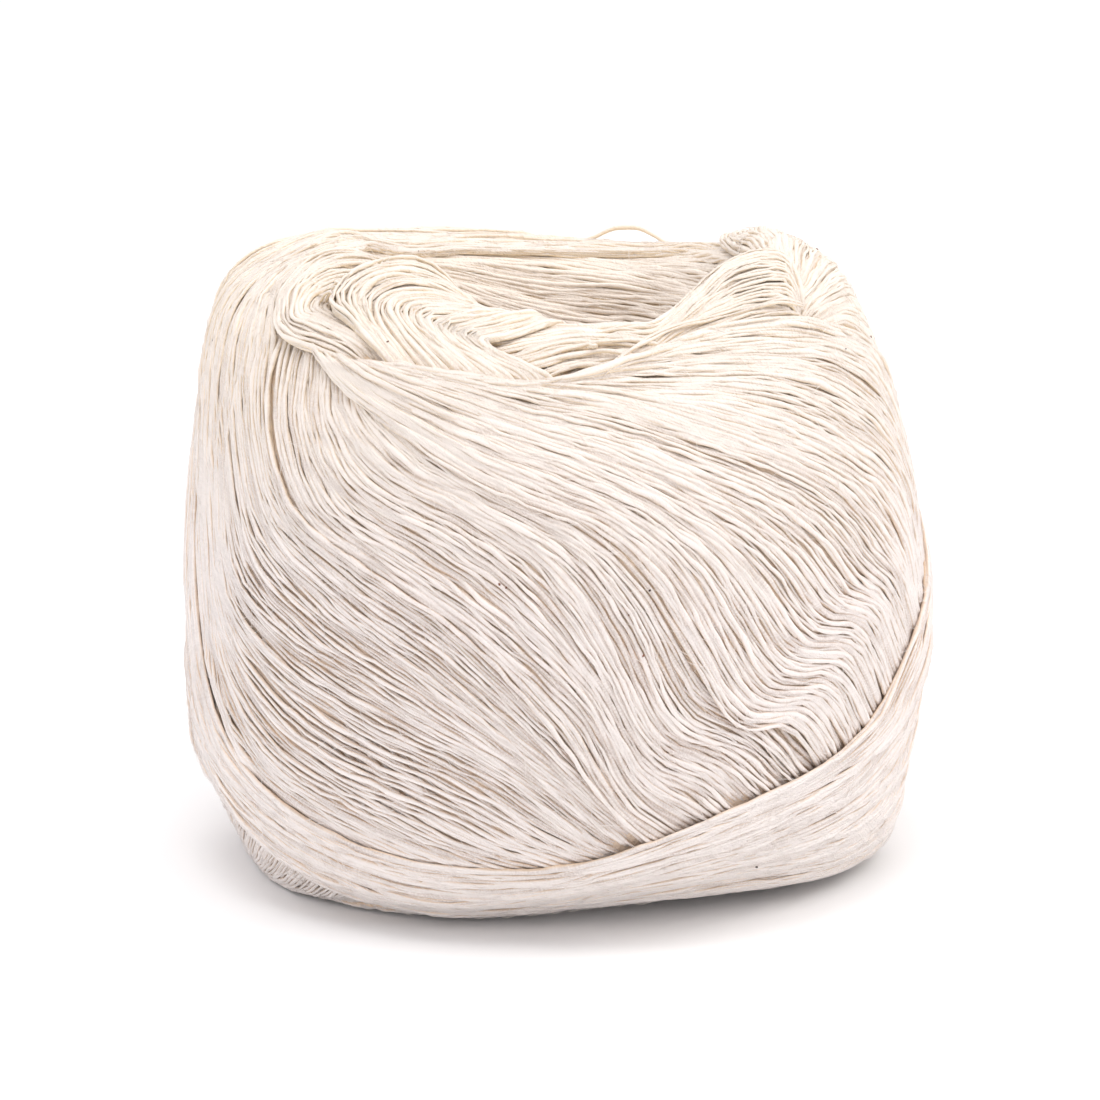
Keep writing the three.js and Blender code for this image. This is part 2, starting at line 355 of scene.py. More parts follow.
def between(table, shares_across, shares_along):
    """A measured table's value at any share across and along the sheet."""
    row = np.clip(shares_across, 0, 1) * (table.shape[0] - 1)
    first = np.minimum(row.astype(int), table.shape[0] - 2)
    column = np.clip(shares_along, 0, 1) * (table.shape[1] - 1)
    start = np.minimum(column.astype(int), table.shape[1] - 2)
    down, right = row - first, column - start
    top = table[first, start] * (1 - right) + table[first, start + 1] * right
    bottom = table[first + 1, start] * (1 - right) + table[first + 1, start + 1] * right
    return top * (1 - down) + bottom * down


# %% [markdown]
# Where a bundle lies, the winding grows by its thickness. A bundle swells like several twists side by side,
# and its two ends are tucked under, so that the next bundle finds no step there.

# %% Raise the winding
TUCK_CURVE = 1.5
CELL_ACROSS = 0.2
CELL_ALONG = 0.25
RAISE_REACH = 8
SLOW_BEND = 0.35
SLOW_LENGTH = 47
QUICK_BEND = 0.2
QUICK_LENGTH = 19
QUICK_WIDTH = 13
FINE_TWISTS = 2.3
FINE_DEPTH = 0.25
SOFT_EDGE = 2.5


def end_drop(to_start, to_end, ends):
    """How far a bundle's two ends are tucked under, at distances from its start and its end."""
    first, last = ends["tuck"]
    start = ends["sink"][0] * np.clip(1 - to_start / first, 0, 1) ** TUCK_CURVE
    return start + ends["sink"][1] * np.clip(1 - to_end / last, 0, 1) ** TUCK_CURVE


def raise_winding(sheet, thickness, relief, ends):
    """Adds a bundle's own thickness to the winding."""
    width, length = sheet["width"], sheet["length"]
    across = np.linspace(0, 1, int(width / CELL_ACROSS) + 2)[:, None]
    along = np.linspace(0, 1, int(length / CELL_ALONG) + 2)[None, :]
    azimuth, run, rise = on_sheet(sheet["guides"], across + 0 * along, along + 0 * across)
    tight = pulled_tight(read_grid(winding_height, azimuth, run), RAISE_REACH)
    own = thickness + rise + relief(across * width, along * length)
    own = own - end_drop(along * length, (1 - along) * length, ends)
    column = np.round((azimuth % 360) * (AZIMUTH_CELLS / 360)).astype(int) % AZIMUTH_CELLS
    row = np.round(np.clip(run, 0, LAST_RUN) * RUN_CELLS_EACH).astype(int)
    np.maximum.at(winding_height, (column, row), tight + np.maximum(own, 0))


def relief_of(twists, depth, width):
    """How a bundle's surface swells: as so many twists side by side, bent by a slow random wave."""
    phases = chance.random(4)

    def relief(aside, lengths):
        slow = np.sin(2 * math.pi * (lengths / SLOW_LENGTH + phases[0]))
        quick = np.sin(2 * math.pi * (lengths / QUICK_LENGTH + aside / QUICK_WIDTH + phases[1]))
        share = aside / width * twists + (SLOW_BEND * slow + QUICK_BEND * quick)
        broad = 0.5 - 0.5 * np.cos(2 * math.pi * (share + phases[2]))
        fine = np.sin(2 * math.pi * (share * FINE_TWISTS + phases[3]))
        edge = np.clip(np.minimum(aside, width - aside) / SOFT_EDGE, 0, 1)
        return depth * edge * (broad + FINE_DEPTH * fine)

    return relief


# %% [markdown]
# A bundle has an open top layer over a dense one, and more layers where it stands up. Where it narrows there
# is no room for all threads side by side, and some slip under the others.

# %% The layers of a bundle
LOWER_PITCH = 0.41
LOWER_STEP_SHARE = 2.6
LOWER_SIDES = 4
LAYER = 0.15
FILL_EVERY = 0.7


def layers_of(guides, pitch, lower, step, sides):
    """The layers of a bundle, with the top one last."""
    layers = [dict(pitch=pitch, height=LAYER if lower else 0.0, rise_share=1.0, step=step, sides=sides)]
    fill = int(guides[..., 2].max() / FILL_EVERY)
    for below in range(fill + 1 if lower else 0):
        layers.insert(0, dict(
            pitch=LOWER_PITCH, height=0.0, rise_share=1 - below / (fill + 1), step=step * LOWER_STEP_SHARE,
            sides=LOWER_SIDES))
    return layers


# %% The routes of a layer's threads
FEWEST_POINTS = 6
SPOT_PLAY = 0.15
DRIFT_LENGTHS = (22, 80)
CALM_EDGE = 3
STRAY_LENGTHS = (9, 40)
MOST_STRAY = 1.2


def routes(sheet, pitch, step, stagger, wander, stray):
    """Where a layer's threads run, side by side on the sheet, each with its own wander."""
    across, along, width, length = (sheet[key] for key in ("across", "along", "width", "length"))
    count = max(2, int(round(width / pitch)))
    spots = (np.arange(count) + 0.5 + chance.uniform(-SPOT_PLAY, SPOT_PLAY, count)) / count * width
    shares = np.interp(spots, sheet["widths"], across)[:, None]
    points = max(FEWEST_POINTS, int(length / step) + 1)
    begin = chance.random((count, 1)) * stagger[0] / length
    finish = 1 - chance.random((count, 1)) * stagger[1] / length
    progress = begin + (finish - begin) * np.linspace(0, 1, points)[None, :]
    line = between(sheet["travelled"], shares + 0 * along, along[None, :] + 0 * shares)
    own_length = line[:, -1:]
    shares_along = np.array([np.interp(p * row[-1], row, along) for p, row in zip(progress, line)])
    lengths = progress * own_length
    room = between(sheet["room"], shares + 0 * progress, shares_along)
    crowding = room / np.interp(shares, across, sheet["usual"])
    to_edge = np.minimum(spots, width - spots)[:, None]
    together = drift(spots[:, None], lengths, *DRIFT_LENGTHS) * wander * np.clip(to_edge / CALM_EDGE, 0, 1)
    alone = waves(count, lengths, *STRAY_LENGTHS) * stray
    strays = (together + alone) * np.minimum(crowding, MOST_STRAY)
    azimuth, run, rise = on_sheet(sheet["guides"], np.clip(shares + strays / room, 0, 1), shares_along)
    return dict(
        azimuth=azimuth, run=run, rise=rise, lengths=lengths, aside=spots[:, None] + strays,
        crowding=crowding, from_start=(progress - begin) * own_length,
        to_end=(finish - progress) * own_length)


# %% [markdown]
# The threads are kept as arrays, with their middle line, thickness and tone. The tubes come later, in one go,
# because by then it is known which parts of a thread got buried and can be left out.

# %% Lay a layer's threads
THICKNESS_LENGTHS = (3, 12)
THICKNESS_WAVE = 0.12
THREAD_SHARES = (0.78, 1.4)
THREAD_HEIGHT = 0.9
LIE_LENGTHS = (8, 30)
LIE_WAVE = 0.02
LIE_PLAY = 0.03
SLIP_ROOM = 2.1
SLIP_SOFTNESS = 0.2
SLIP_DEPTH = 0.28
SWAY_LENGTHS = (3, 9)
SWAY = 0.06
laid = []


def lay_threads(piece, route, thread, layer, relief, ends, warm, top):
    """Lays one layer's threads on the winding and keeps them for the tubes."""
    azimuth, run, lengths = route["azimuth"], route["run"], route["lengths"]
    count = len(azimuth)
    swelling = slubs(count, lengths)
    radius = thread * (1 + THICKNESS_WAVE * waves(count, lengths, *THICKNESS_LENGTHS) + swelling)
    radius = radius * chance.uniform(*THREAD_SHARES, (count, 1))
    ground = pulled_tight(read_grid(winding_height, azimuth, run), 2)
    height = ground + thread * THREAD_HEIGHT + route["rise"] * layer["rise_share"]
    height = height + layer["height"] + relief(route["aside"], lengths)
    height = height + LIE_WAVE * waves(count, lengths, *LIE_LENGTHS)
    height = height + chance.uniform(-LIE_PLAY, LIE_PLAY, (count, 1))
    order = chance.random((count, 1))
    packed = route["crowding"] * layer["pitch"] / (SLIP_ROOM * thread)
    height = height - SLIP_DEPTH * np.clip((order - packed) / SLIP_SOFTNESS, 0, 1)
    height = height - end_drop(route["from_start"], route["to_end"], ends)
    laid.append(dict(
        piece=piece, azimuth=azimuth, run=run, height=height, radius=radius, lengths=lengths,
        swelling=swelling, tone=chance.normal(0, 1, (count, 1)), warm=warm, sides=layer["sides"],
        sway=waves(count, lengths, *SWAY_LENGTHS) * SWAY, top=top,
    ))


# %% Wind a bundle
THREAD = 0.2
PITCH = 0.76
STEP = 1.1
BUNDLE_HEIGHT = 1.75


def wind(name, piece, guides, pitch=PITCH, thread=THREAD, lower=True, twists=1, relief_depth=0.0, wander=0.3,
         stray=0.045, tuck=(4, 4), sink=(0.9, 0.9), stagger=(5, 5), warm=0.0, step=STEP, sides=6):
    """Lays one bundle along its guides, from its lowest layer to its top one."""
    sheet = measured_sheet(sheet_of(guides))
    relief = relief_of(twists, relief_depth, sheet["width"])
    ends = dict(tuck=tuck, sink=sink)
    layers = layers_of(sheet["guides"], pitch, lower, step, sides)
    metres = 0
    for layer in layers:
        route = routes(sheet, layer["pitch"], layer["step"], stagger, wander, stray)
        lay_threads(piece, route, thread, layer, relief, ends, warm, layer is layers[-1])
        metres += route["from_start"][:, -1].sum() / 1000
    raise_winding(sheet, thread * BUNDLE_HEIGHT + layers[-1]["height"], relief, ends)
    size = f"{sheet['width']:.0f} mm by {sheet['length']:.0f} mm"
    print(f"{name}: {len(route['azimuth'])} threads wide, {size}, {metres:.1f} m")


def turned(guide, count):
    """The same guide thread again and again around the whole ball, so that the bundle closes on itself."""
    turns = [360 * turn / count for turn in range(count + 1)]
    return [[(azimuth + turn, run) for azimuth, run in guide] for turn in turns]


# %% [markdown]
# ## The lowest winding
# Under the bundles that show, older turns cover the whole core. They are seen only through gaps, and from
# above in the hollow and from below, where the ball stands. They are laid as one slanting thread repeated all
# the way round.

# %% Under-winding of the side, the hollow and the underside
wind("side under-winding", "under_winding", turned(
    [(0, 4.4), (14, 5.0), (30, 5.8), (52, 6.9), (78, 8.0), (102, 9.0), (124, 9.9), (142, 10.8)], 8),
    pitch=0.75, thread=0.32, lower=False, step=3.0, sides=4)
wind("hollow wall", "hollow", turned(
    [(0, 5.4), (18, 4.7), (36, 4.0), (56, 3.2), (80, 2.3), (110, 1.4)], 8),
    pitch=0.5, lower=False, sides=5)
wind("hollow floor", "hollow", turned(
    [(0, 2.0), (40, 1.4), (90, 0.95), (150, 0.6), (230, 0.3), (330, 0.1)], 6),
    pitch=0.6, lower=False, sides=5)
wind("underside", "underside", turned(
    [(0, 9.9), (16, 10.4), (36, 10.9), (64, 11.25), (104, 11.55), (170, 11.8), (250, 11.93)], 8),
    pitch=0.62, thread=0.30, lower=False, step=2.4, sides=5)

# %% [markdown]
# ## The far side
# At the back the newest turns come over the far rim from the right, run down and wrap under the ball. The
# photograph doesn't show them, so they carry on the turns that it shows at both edges.

# %% Back sweep
BACK_SWEEP = [
    [(-256, 7.3), (-232, 7.8), (-212, 8.1), (-196, 8.5), (-184, 8.9), (-176, 9.3), (-170, 9.7),
     (-165, 10.0), (-159, 10.3), (-151, 10.5), (-140, 10.8), (-122, 11.1), (-98, 11.3)],
    [(-253, 6.7), (-226, 7.0), (-204, 7.2), (-186, 7.5), (-172, 7.9), (-163, 8.4), (-157, 8.9),
     (-152, 9.4), (-147, 9.8), (-140, 10.1), (-128, 10.4), (-108, 10.7), (-80, 10.9)],
    [(-250, 6.1), (-220, 6.3), (-196, 6.4), (-175, 6.6), (-157, 6.95), (-147, 7.5), (-141, 8.1),
     (-137, 8.7), (-132, 9.2), (-126, 9.7), (-114, 10.1), (-92, 10.4), (-60, 10.6)],
    [(-248, 5.7), (-212, 5.7), (-186, 5.65), (-162, 5.7), (-142, 5.9), (-131, 6.4), (-126, 7.1),
     (-122, 7.9), (-118, 8.6), (-112, 9.2), (-100, 9.7), (-80, 10.1), (-52, 10.3)],
    [(-246, 5.3), (-205, 5.2), (-175, 5.1), (-148, 5.1), (-127, 5.2), (-117, 5.6), (-112, 6.2),
     (-109, 7.0), (-106, 7.8), (-100, 8.6), (-88, 9.3), (-68, 9.8), (-42, 10.0)],
    [(-244, 4.9), (-200, 4.75), (-165, 4.6), (-135, 4.6), (-112, 4.65), (-102, 5.0), (-98, 5.6),
     (-96, 6.4), (-93, 7.2), (-88, 8.0), (-76, 8.8), (-52, 9.25), (-15, 9.65)],
]
wind("back sweep", "back_winding", BACK_SWEEP, twists=9, relief_depth=0.25, step=2.0)

# %% [markdown]
# Low on the left, below the edge of the newer turns, a strip of older winding shows. Its threads slant down
# to the left and under the ball.

# %% Foot wrap
wind("foot wrap", "underside", [
    [(azimuth + 17, 9.0), (azimuth + 9, 9.5), (azimuth, 10.0), (azimuth - 9, 10.5), (azimuth - 17, 11.0),
     (azimuth - 24, 11.4)]
    for azimuth in (-96, -80, -64, -48, -32, -16, 0)], pitch=0.56, thread=0.18, sides=5)

# %% [markdown]
# ## Far rim and left side
# Around the far side of the hollow the threads lie level. The outer ones turn down over the left side, where
# a crease parts them from the loops on the rim, and sweep to the right along the foot.

# %% Far rim and far wall
FAR_RIM = [
    [(-66, 4.85), (-84, 4.75), (-110, 4.7), (-140, 4.65), (-165, 4.6), (-190, 4.55), (-212, 4.45),
     (-230, 4.3), (-252, 4.2), (-268, 4.15), (-284, 4.2)],
    [(-56, 4.3), (-72, 4.2), (-104, 4.15), (-138, 4.1), (-160, 3.95), (-185, 3.8), (-205, 3.65),
     (-225, 3.55), (-248, 3.5), (-266, 3.6), (-284, 3.8)],
    [(-52, 3.95), (-68, 3.9), (-100, 3.8), (-132, 3.7), (-154, 3.5), (-176, 3.3), (-198, 3.2),
     (-220, 3.15), (-243, 3.15), (-262, 3.25), (-282, 3.5)],
    [(-54, 3.55), (-72, 3.5), (-98, 3.5), (-125, 3.4), (-145, 3.15), (-166, 2.95), (-188, 2.8),
     (-210, 2.7), (-235, 2.7), (-256, 2.85), (-278, 3.15)],
    [(-56, 3.15), (-76, 3.1), (-98, 3.1), (-122, 2.95), (-142, 2.7), (-162, 2.45), (-182, 2.3),
     (-204, 2.2), (-228, 2.15), (-250, 2.4), (-272, 2.75)],
    [(-60, 2.55), (-80, 2.5), (-102, 2.45), (-124, 2.25), (-144, 2.0), (-164, 1.75), (-184, 1.6),
     (-204, 1.5), (-226, 1.5), (-248, 1.8), (-270, 2.25)],
]
wind("far rim", "rim_winding", FAR_RIM, pitch=0.54, twists=5, relief_depth=0.35, warm=0.6, step=1.4)

# %% Left side
LEFT_SIDE = [
    [(-246, 5.15), (-202, 4.9), (-168, 4.8), (-139, 4.8), (-116, 4.9), (-106, 5.3), (-102, 6.0),
     (-99, 6.8), (-96, 7.6), (-92, 8.25), (-83, 8.75), (-64, 9.0), (-45, 9.43), (-26, 9.63), (-6, 9.6)],
    [(-245, 4.9), (-200, 4.75), (-165, 4.62), (-135, 4.6), (-111, 4.7), (-101, 5.1), (-97, 5.7),
     (-94, 6.5), (-91, 7.3), (-87, 7.95), (-78, 8.52), (-62, 8.88), (-42, 9.2), (-18, 9.35), (4, 9.4)],
    [(-243, 4.6), (-195, 4.4), (-160, 4.33), (-128, 4.28), (-101, 4.4), (-89, 4.8), (-85, 5.35),
     (-82, 5.95), (-79, 6.6), (-75, 7.3), (-69, 7.9), (-57, 8.35), (-38, 8.75), (-14, 9.1), (9, 9.4)],
    [(-240, 4.35), (-190, 4.15), (-155, 4.1), (-120, 4.05), (-92, 4.18), (-81, 4.58), (-79, 5.1),
     (-75, 5.6), (-70, 6.2), (-66.5, 6.8), (-60, 7.42), (-46, 7.72), (-28, 7.97), (-8, 8.4), (14, 9.2)],
    [(-238, 4.2), (-186, 4.03), (-150, 3.98), (-114, 3.95), (-86, 4.12), (-77, 4.52), (-75.5, 5.05),
     (-71, 5.5), (-65, 5.95), (-60, 6.55), (-52, 7.1), (-37, 7.45), (-19, 7.82), (0, 8.42), (16, 9.15)],
    [(-236, 4.1), (-182, 3.93), (-145, 3.9), (-108, 3.9), (-83, 4.08), (-73.5, 4.5), (-72.5, 5.0),
     (-67, 5.4), (-57.5, 5.78), (-53, 6.3), (-45.5, 6.82), (-31, 7.13), (-15, 7.5), (2, 8.2), (18, 9.05)],
]
wind("left side", "left_winding", LEFT_SIDE, pitch=0.58, thread=0.175, twists=9, relief_depth=0.3,
     step=1.4, sides=5)

# %% Left part of the front sweep, which comes out from under the loops
LEFT_SWEEP = [
    [(-62, 5.1), (-58.5, 5.55), (-55.5, 5.95), (-52, 6.42), (-44.5, 6.84), (-31, 7.12), (-15, 7.48),
     (-3, 7.98), (6, 8.52), (13, 8.85), (21, 9.2)],
    [(-55, 5.1), (-51.5, 5.55), (-49, 5.9), (-45.5, 6.33), (-37, 6.74), (-24, 7.02), (-10, 7.37),
     (2, 7.87), (10, 8.47), (18, 8.78), (28, 9.15)],
    [(-48, 5.1), (-44, 5.52), (-41, 5.8), (-37, 6.12), (-28, 6.44), (-15, 6.68), (-3, 7.03), (6, 7.54),
     (14, 8.15), (24, 8.42), (36, 8.95)],
    [(-42, 5.1), (-38.5, 5.45), (-35, 5.75), (-29, 6.0), (-20, 6.26), (-8, 6.52), (4, 6.8), (13, 7.25),
     (22, 7.85), (33, 8.17), (46, 8.75)],
]
wind("left sweep", "left_winding", LEFT_SWEEP, pitch=0.66, thread=0.19, twists=4, relief_depth=0.3)

# %% [markdown]
# ## The rim
# Around the hollow the bundles turn back, so they stand as separate short twists. They are laid in the order
# in which they cover each other: the near rim first, then the loops on the left, the fan that lies over them,
# the fan on the right, and the knuckle that dives under it.

# %% Near rim
NEAR_RIM = [
    [(-34, 2.9), (-24, 3.0), (-12, 3.1), (0, 3.15), (12, 3.2), (24, 3.3), (36, 3.4), (48, 3.4)],
    [(-32, 3.7), (-22, 3.75), (-12, 3.75), (-1, 3.7), (10, 3.7), (20, 3.75), (31, 3.9), (42, 3.9)],
    [(-30, 4.3, 0.2), (-20, 4.3, 0.3), (-12, 4.15, 0.4), (-3, 4.0, 0.5), (7, 3.92, 0.5), (17, 3.98, 0.5),
     (27, 4.1, 0.4), (38, 4.1, 0.3)],
    [(-26, 4.6, 0.2), (-17, 4.5, 0.3), (-9, 4.33, 0.5), (0, 4.12, 0.6), (9, 4.12, 0.6), (17, 4.2, 0.6),
     (26, 4.3, 0.5), (36, 4.3, 0.3)],
    [(-22, 4.8, 0.1), (-14, 4.75, 0.2), (-5, 4.55, 0.3), (3, 4.37, 0.3), (11, 4.37, 0.3), (18, 4.42, 0.3),
     (26, 4.45, 0.3), (34, 4.45, 0.2)],
    [(-18, 4.95, 0.2), (-10, 4.92, 0.2), (-2, 4.76, 0.5), (5, 4.68, 0.6), (11, 4.72, 0.6), (17, 4.68, 0.5),
     (24, 4.6, 0.3), (32, 4.55, 0.2)],
    [(-15, 5.05), (-7, 5.03, 0.1), (0, 4.85, 0.2), (7, 4.8, 0.3), (13, 4.84, 0.3), (19, 4.86, 0.3),
     (25, 4.8, 0.2), (33, 4.7, 0.1)],
    [(-13, 5.3), (-5, 5.26), (1, 5.1, 0.1), (7, 5.05, 0.1), (13, 5.08, 0.1), (19, 5.08, 0.1), (26, 5.0),
     (34, 4.9)],
]
wind("near rim", "rim_winding", NEAR_RIM, pitch=0.66, twists=4, relief_depth=0.25, warm=0.5, step=0.9)

# %% Loops on the left of the rim
LEFT_LOOPS = [
    [(-58, 3.8, 1.0), (-66, 4.15, 1.0), (-70.5, 4.5, 1.0), (-71, 4.8, 0.9), (-69, 5.05, 0.8),
     (-65, 5.35, 0.8), (-60, 5.55, 0.8), (-56, 5.68, 0.8), (-51, 5.7, 0.8), (-46, 5.66, 0.7),
     (-41, 5.65, 0.6), (-36, 5.67, 0.4), (-31, 5.8, 0.1)],
    [(-54, 3.95, 1.0), (-62, 4.25, 1.1), (-66.5, 4.55, 1.1), (-67, 4.83, 1.0), (-65, 5.07, 1.0),
     (-62, 5.3, 1.0), (-58.5, 5.48, 1.0), (-55, 5.6, 1.0), (-50.5, 5.6, 0.9), (-46, 5.56, 0.8),
     (-41, 5.55, 0.7), (-36, 5.59, 0.5), (-30, 5.75, 0.1)],
    [(-51, 4.1, 1.0), (-58.5, 4.35, 1.1), (-62.5, 4.6, 1.1), (-63.5, 4.85, 1.0), (-62, 5.08, 1.0),
     (-59.5, 5.3, 1.0), (-56.5, 5.45, 1.0), (-54, 5.53, 1.0), (-50, 5.51, 0.9), (-46, 5.48, 0.8),
     (-41, 5.48, 0.7), (-36, 5.53, 0.5), (-29.5, 5.7, 0.1)],
    [(-49, 4.25, 0.9), (-55.5, 4.47, 1.0), (-59, 4.68, 0.9), (-60, 4.9, 0.8), (-59, 5.1, 0.8),
     (-57, 5.28, 0.8), (-55, 5.39, 0.8), (-53, 5.44, 0.8), (-50, 5.41, 0.8), (-46, 5.39, 0.7),
     (-41, 5.4, 0.6), (-35, 5.46, 0.5), (-29, 5.65, 0.1)],
    [(-46, 4.45, 0.6), (-52, 4.62, 0.6), (-55.5, 4.78, 0.5), (-57, 4.94, 0.4), (-56.7, 5.08, 0.3),
     (-55.5, 5.2, 0.3), (-54, 5.28, 0.3), (-52.5, 5.31, 0.3), (-49.5, 5.3, 0.3), (-46, 5.28, 0.3),
     (-41, 5.3, 0.3), (-35, 5.38, 0.3), (-28.5, 5.6, 0.1)],
    [(-43, 4.6, 0.3), (-48, 4.72, 0.3), (-51.5, 4.84, 0.3), (-53.5, 4.95, 0.2), (-53.5, 5.04, 0.2),
     (-53, 5.12, 0.2), (-52, 5.17, 0.2), (-50.5, 5.19, 0.2), (-48, 5.18, 0.2), (-45, 5.16, 0.2),
     (-40, 5.2, 0.2), (-34, 5.28, 0.2), (-28, 5.5, 0.1)],
]
wind("left loops", "left_rim", LEFT_LOOPS, twists=2, relief_depth=0.3, warm=0.3, step=0.8)

# %% Fan on the left of the hollow, whose threads turn sharply on the crest
LEFT_FAN = [
    [(-24, 5.8), (-30, 5.55, 0.2), (-36, 5.4, 0.5), (-43, 5.27, 0.8), (-49, 5.22, 1.2), (-51.5, 5.0, 2.0),
     (-52, 4.7, 2.6), (-51, 4.35, 3.0), (-49, 3.95, 3.0), (-43, 3.6, 2.4), (-36, 3.2, 1.4),
     (-28, 2.6, 0.5)],
    [(-22, 5.8), (-29, 5.5, 0.2), (-36, 5.3, 0.6), (-42, 5.13, 1.0), (-47.5, 4.95, 1.6), (-48.5, 4.8, 2.0),
     (-47.5, 4.6, 2.4), (-45.5, 4.3, 2.6), (-42, 4.0, 2.6), (-36, 3.65, 2.1), (-30, 3.2, 1.3),
     (-22, 2.6, 0.5)],
    [(-19, 5.78), (-26, 5.45, 0.2), (-32, 5.25, 0.5), (-37.5, 5.08, 0.9), (-42.5, 4.9, 1.4),
     (-43.5, 4.76, 1.8), (-42.5, 4.6, 2.1), (-40, 4.4, 2.2), (-36, 4.15, 2.1), (-31, 3.8, 1.7),
     (-25, 3.3, 1.1), (-16, 2.6, 0.4)],
    [(-14, 5.75), (-21, 5.38, 0.2), (-27, 5.15, 0.5), (-33, 4.97, 0.8), (-38.5, 4.82, 1.2),
     (-40, 4.7, 1.5), (-39, 4.58, 1.7), (-36, 4.42, 1.8), (-32, 4.25, 1.7), (-26.5, 3.9, 1.3),
     (-20, 3.35, 0.9), (-11, 2.6, 0.3)],
    [(-9, 5.72), (-16, 5.33, 0.2), (-22.5, 5.1, 0.4), (-28.5, 4.93, 0.6), (-34, 4.77, 0.9),
     (-35.5, 4.68, 1.2), (-34.5, 4.6, 1.4), (-32, 4.5, 1.4), (-28, 4.35, 1.3), (-22, 4.0, 1.0),
     (-15, 3.4, 0.7), (-6, 2.6, 0.3)],
    [(-3, 5.72), (-10, 5.32, 0.1), (-16.5, 5.1, 0.25), (-22.5, 4.95, 0.45), (-27.5, 4.8, 0.7),
     (-28.8, 4.74, 0.9), (-27.8, 4.68, 1.0), (-25.5, 4.6, 1.0), (-22, 4.45, 0.9), (-16, 4.1, 0.7),
     (-9, 3.5, 0.5), (0, 2.6, 0.2)],
    [(1, 5.72), (-5, 5.3), (-11, 5.1, 0.15), (-16.5, 4.97, 0.3), (-21, 4.86, 0.5), (-22.2, 4.8, 0.6),
     (-21.2, 4.76, 0.7), (-19, 4.7, 0.7), (-15.5, 4.55, 0.6), (-10, 4.2, 0.5), (-3, 3.6, 0.3),
     (6, 2.7, 0.1)],
    [(5, 5.72), (-1, 5.28), (-6.5, 5.12), (-11.5, 5.0, 0.1), (-15.5, 4.92, 0.2), (-16.5, 4.87, 0.2),
     (-15.7, 4.82, 0.1), (-13.5, 4.78), (-10, 4.65, -0.2), (-4, 4.3, -0.3), (3, 3.7, -0.3),
     (12, 2.8, -0.3)],
]
wind("left fan", "left_rim", LEFT_FAN, twists=6, relief_depth=0.25, warm=0.5, step=0.6, wander=0.15,
     stray=0.03)

# %% Felted patch between the loops and the fan
FELT_PATCH = [
    [(-58, 5.0), (-55.5, 4.98, 0.1), (-53, 4.96, 0.1), (-50, 4.93)],
    [(-58, 5.08), (-55.5, 5.06, 0.1), (-53, 5.04, 0.1), (-50, 5.01)],
    [(-57, 5.16), (-55, 5.14, 0.1), (-52.5, 5.12, 0.1), (-49.5, 5.1)],
]
wind("felted patch", "left_rim", FELT_PATCH, pitch=0.22, thread=0.12, lower=False, wander=0.2, stray=0.16,
     tuck=(1.5, 1.5), sink=(0.5, 0.5), stagger=(2, 2), step=0.5)

# %% Fan on the right of the hollow
RIGHT_FAN = [
    [(53, 5.22, 0.1), (60, 4.7, 0.2), (66, 4.4, 0.3), (73, 4.12, 0.4), (86, 3.85, 0.5), (102, 3.8, 0.5),
     (118, 4.05, 0.4), (133, 4.7, 0.2), (144, 5.65), (154, 6.7)],
    [(53, 5.25, 0.1), (59, 4.88, 0.6), (65, 4.68, 1.1), (72, 4.5, 1.4), (84, 4.32, 1.55), (100, 4.3, 1.55),
     (116, 4.6, 1.2), (130, 5.25, 0.5), (141, 6.15, 0.1), (150, 7.0)],
    [(53, 5.28, 0.1), (59, 4.96, 0.7), (66, 4.84, 1.0), (74, 4.74, 1.1), (86, 4.68, 1.1), (100, 4.85, 0.8),
     (114, 5.3, 0.5), (126, 5.95, 0.3), (136, 6.7, 0.1), (145, 7.4)],
    [(54, 5.3, 0.1), (60, 5.04, 0.6), (68, 4.98, 0.8), (79, 5.0, 0.9), (91, 5.15, 0.9), (103, 5.5, 0.7),
     (114, 6.0, 0.5), (124, 6.6, 0.3), (132, 7.2, 0.1), (140, 7.8)],
    [(55, 5.32, 0.1), (62, 5.14, 0.4), (71, 5.18, 0.6), (83, 5.35, 0.7), (94, 5.6, 0.7), (104, 5.95, 0.5),
     (113, 6.4, 0.3), (121, 6.95, 0.2), (128, 7.5), (135, 8.0)],
    [(56, 5.34, 0.1), (63, 5.25, 0.3), (73, 5.35, 0.4), (85, 5.62, 0.5), (95, 5.95, 0.5), (104, 6.3, 0.4),
     (112, 6.75, 0.2), (119, 7.25, 0.1), (125, 7.75), (131, 8.2)],
    [(57, 5.36), (64, 5.35, 0.1), (73, 5.48, 0.2), (83, 5.8, 0.2), (92, 6.15, 0.2), (101, 6.55, 0.1),
     (109, 7.0, 0.1), (115, 7.45), (121, 7.9), (127, 8.35)],
    [(58, 5.4), (65, 5.45), (74, 5.65), (84, 6.1), (93, 6.5), (102, 6.95), (109, 7.4), (115, 7.9),
     (121, 8.3), (127, 8.7)],
]
wind("right fan", "right_rim", RIGHT_FAN, pitch=0.52, twists=4, relief_depth=0.12, warm=0.4, step=1.0,
     wander=0.15, stray=0.03, stagger=(0.5, 5))

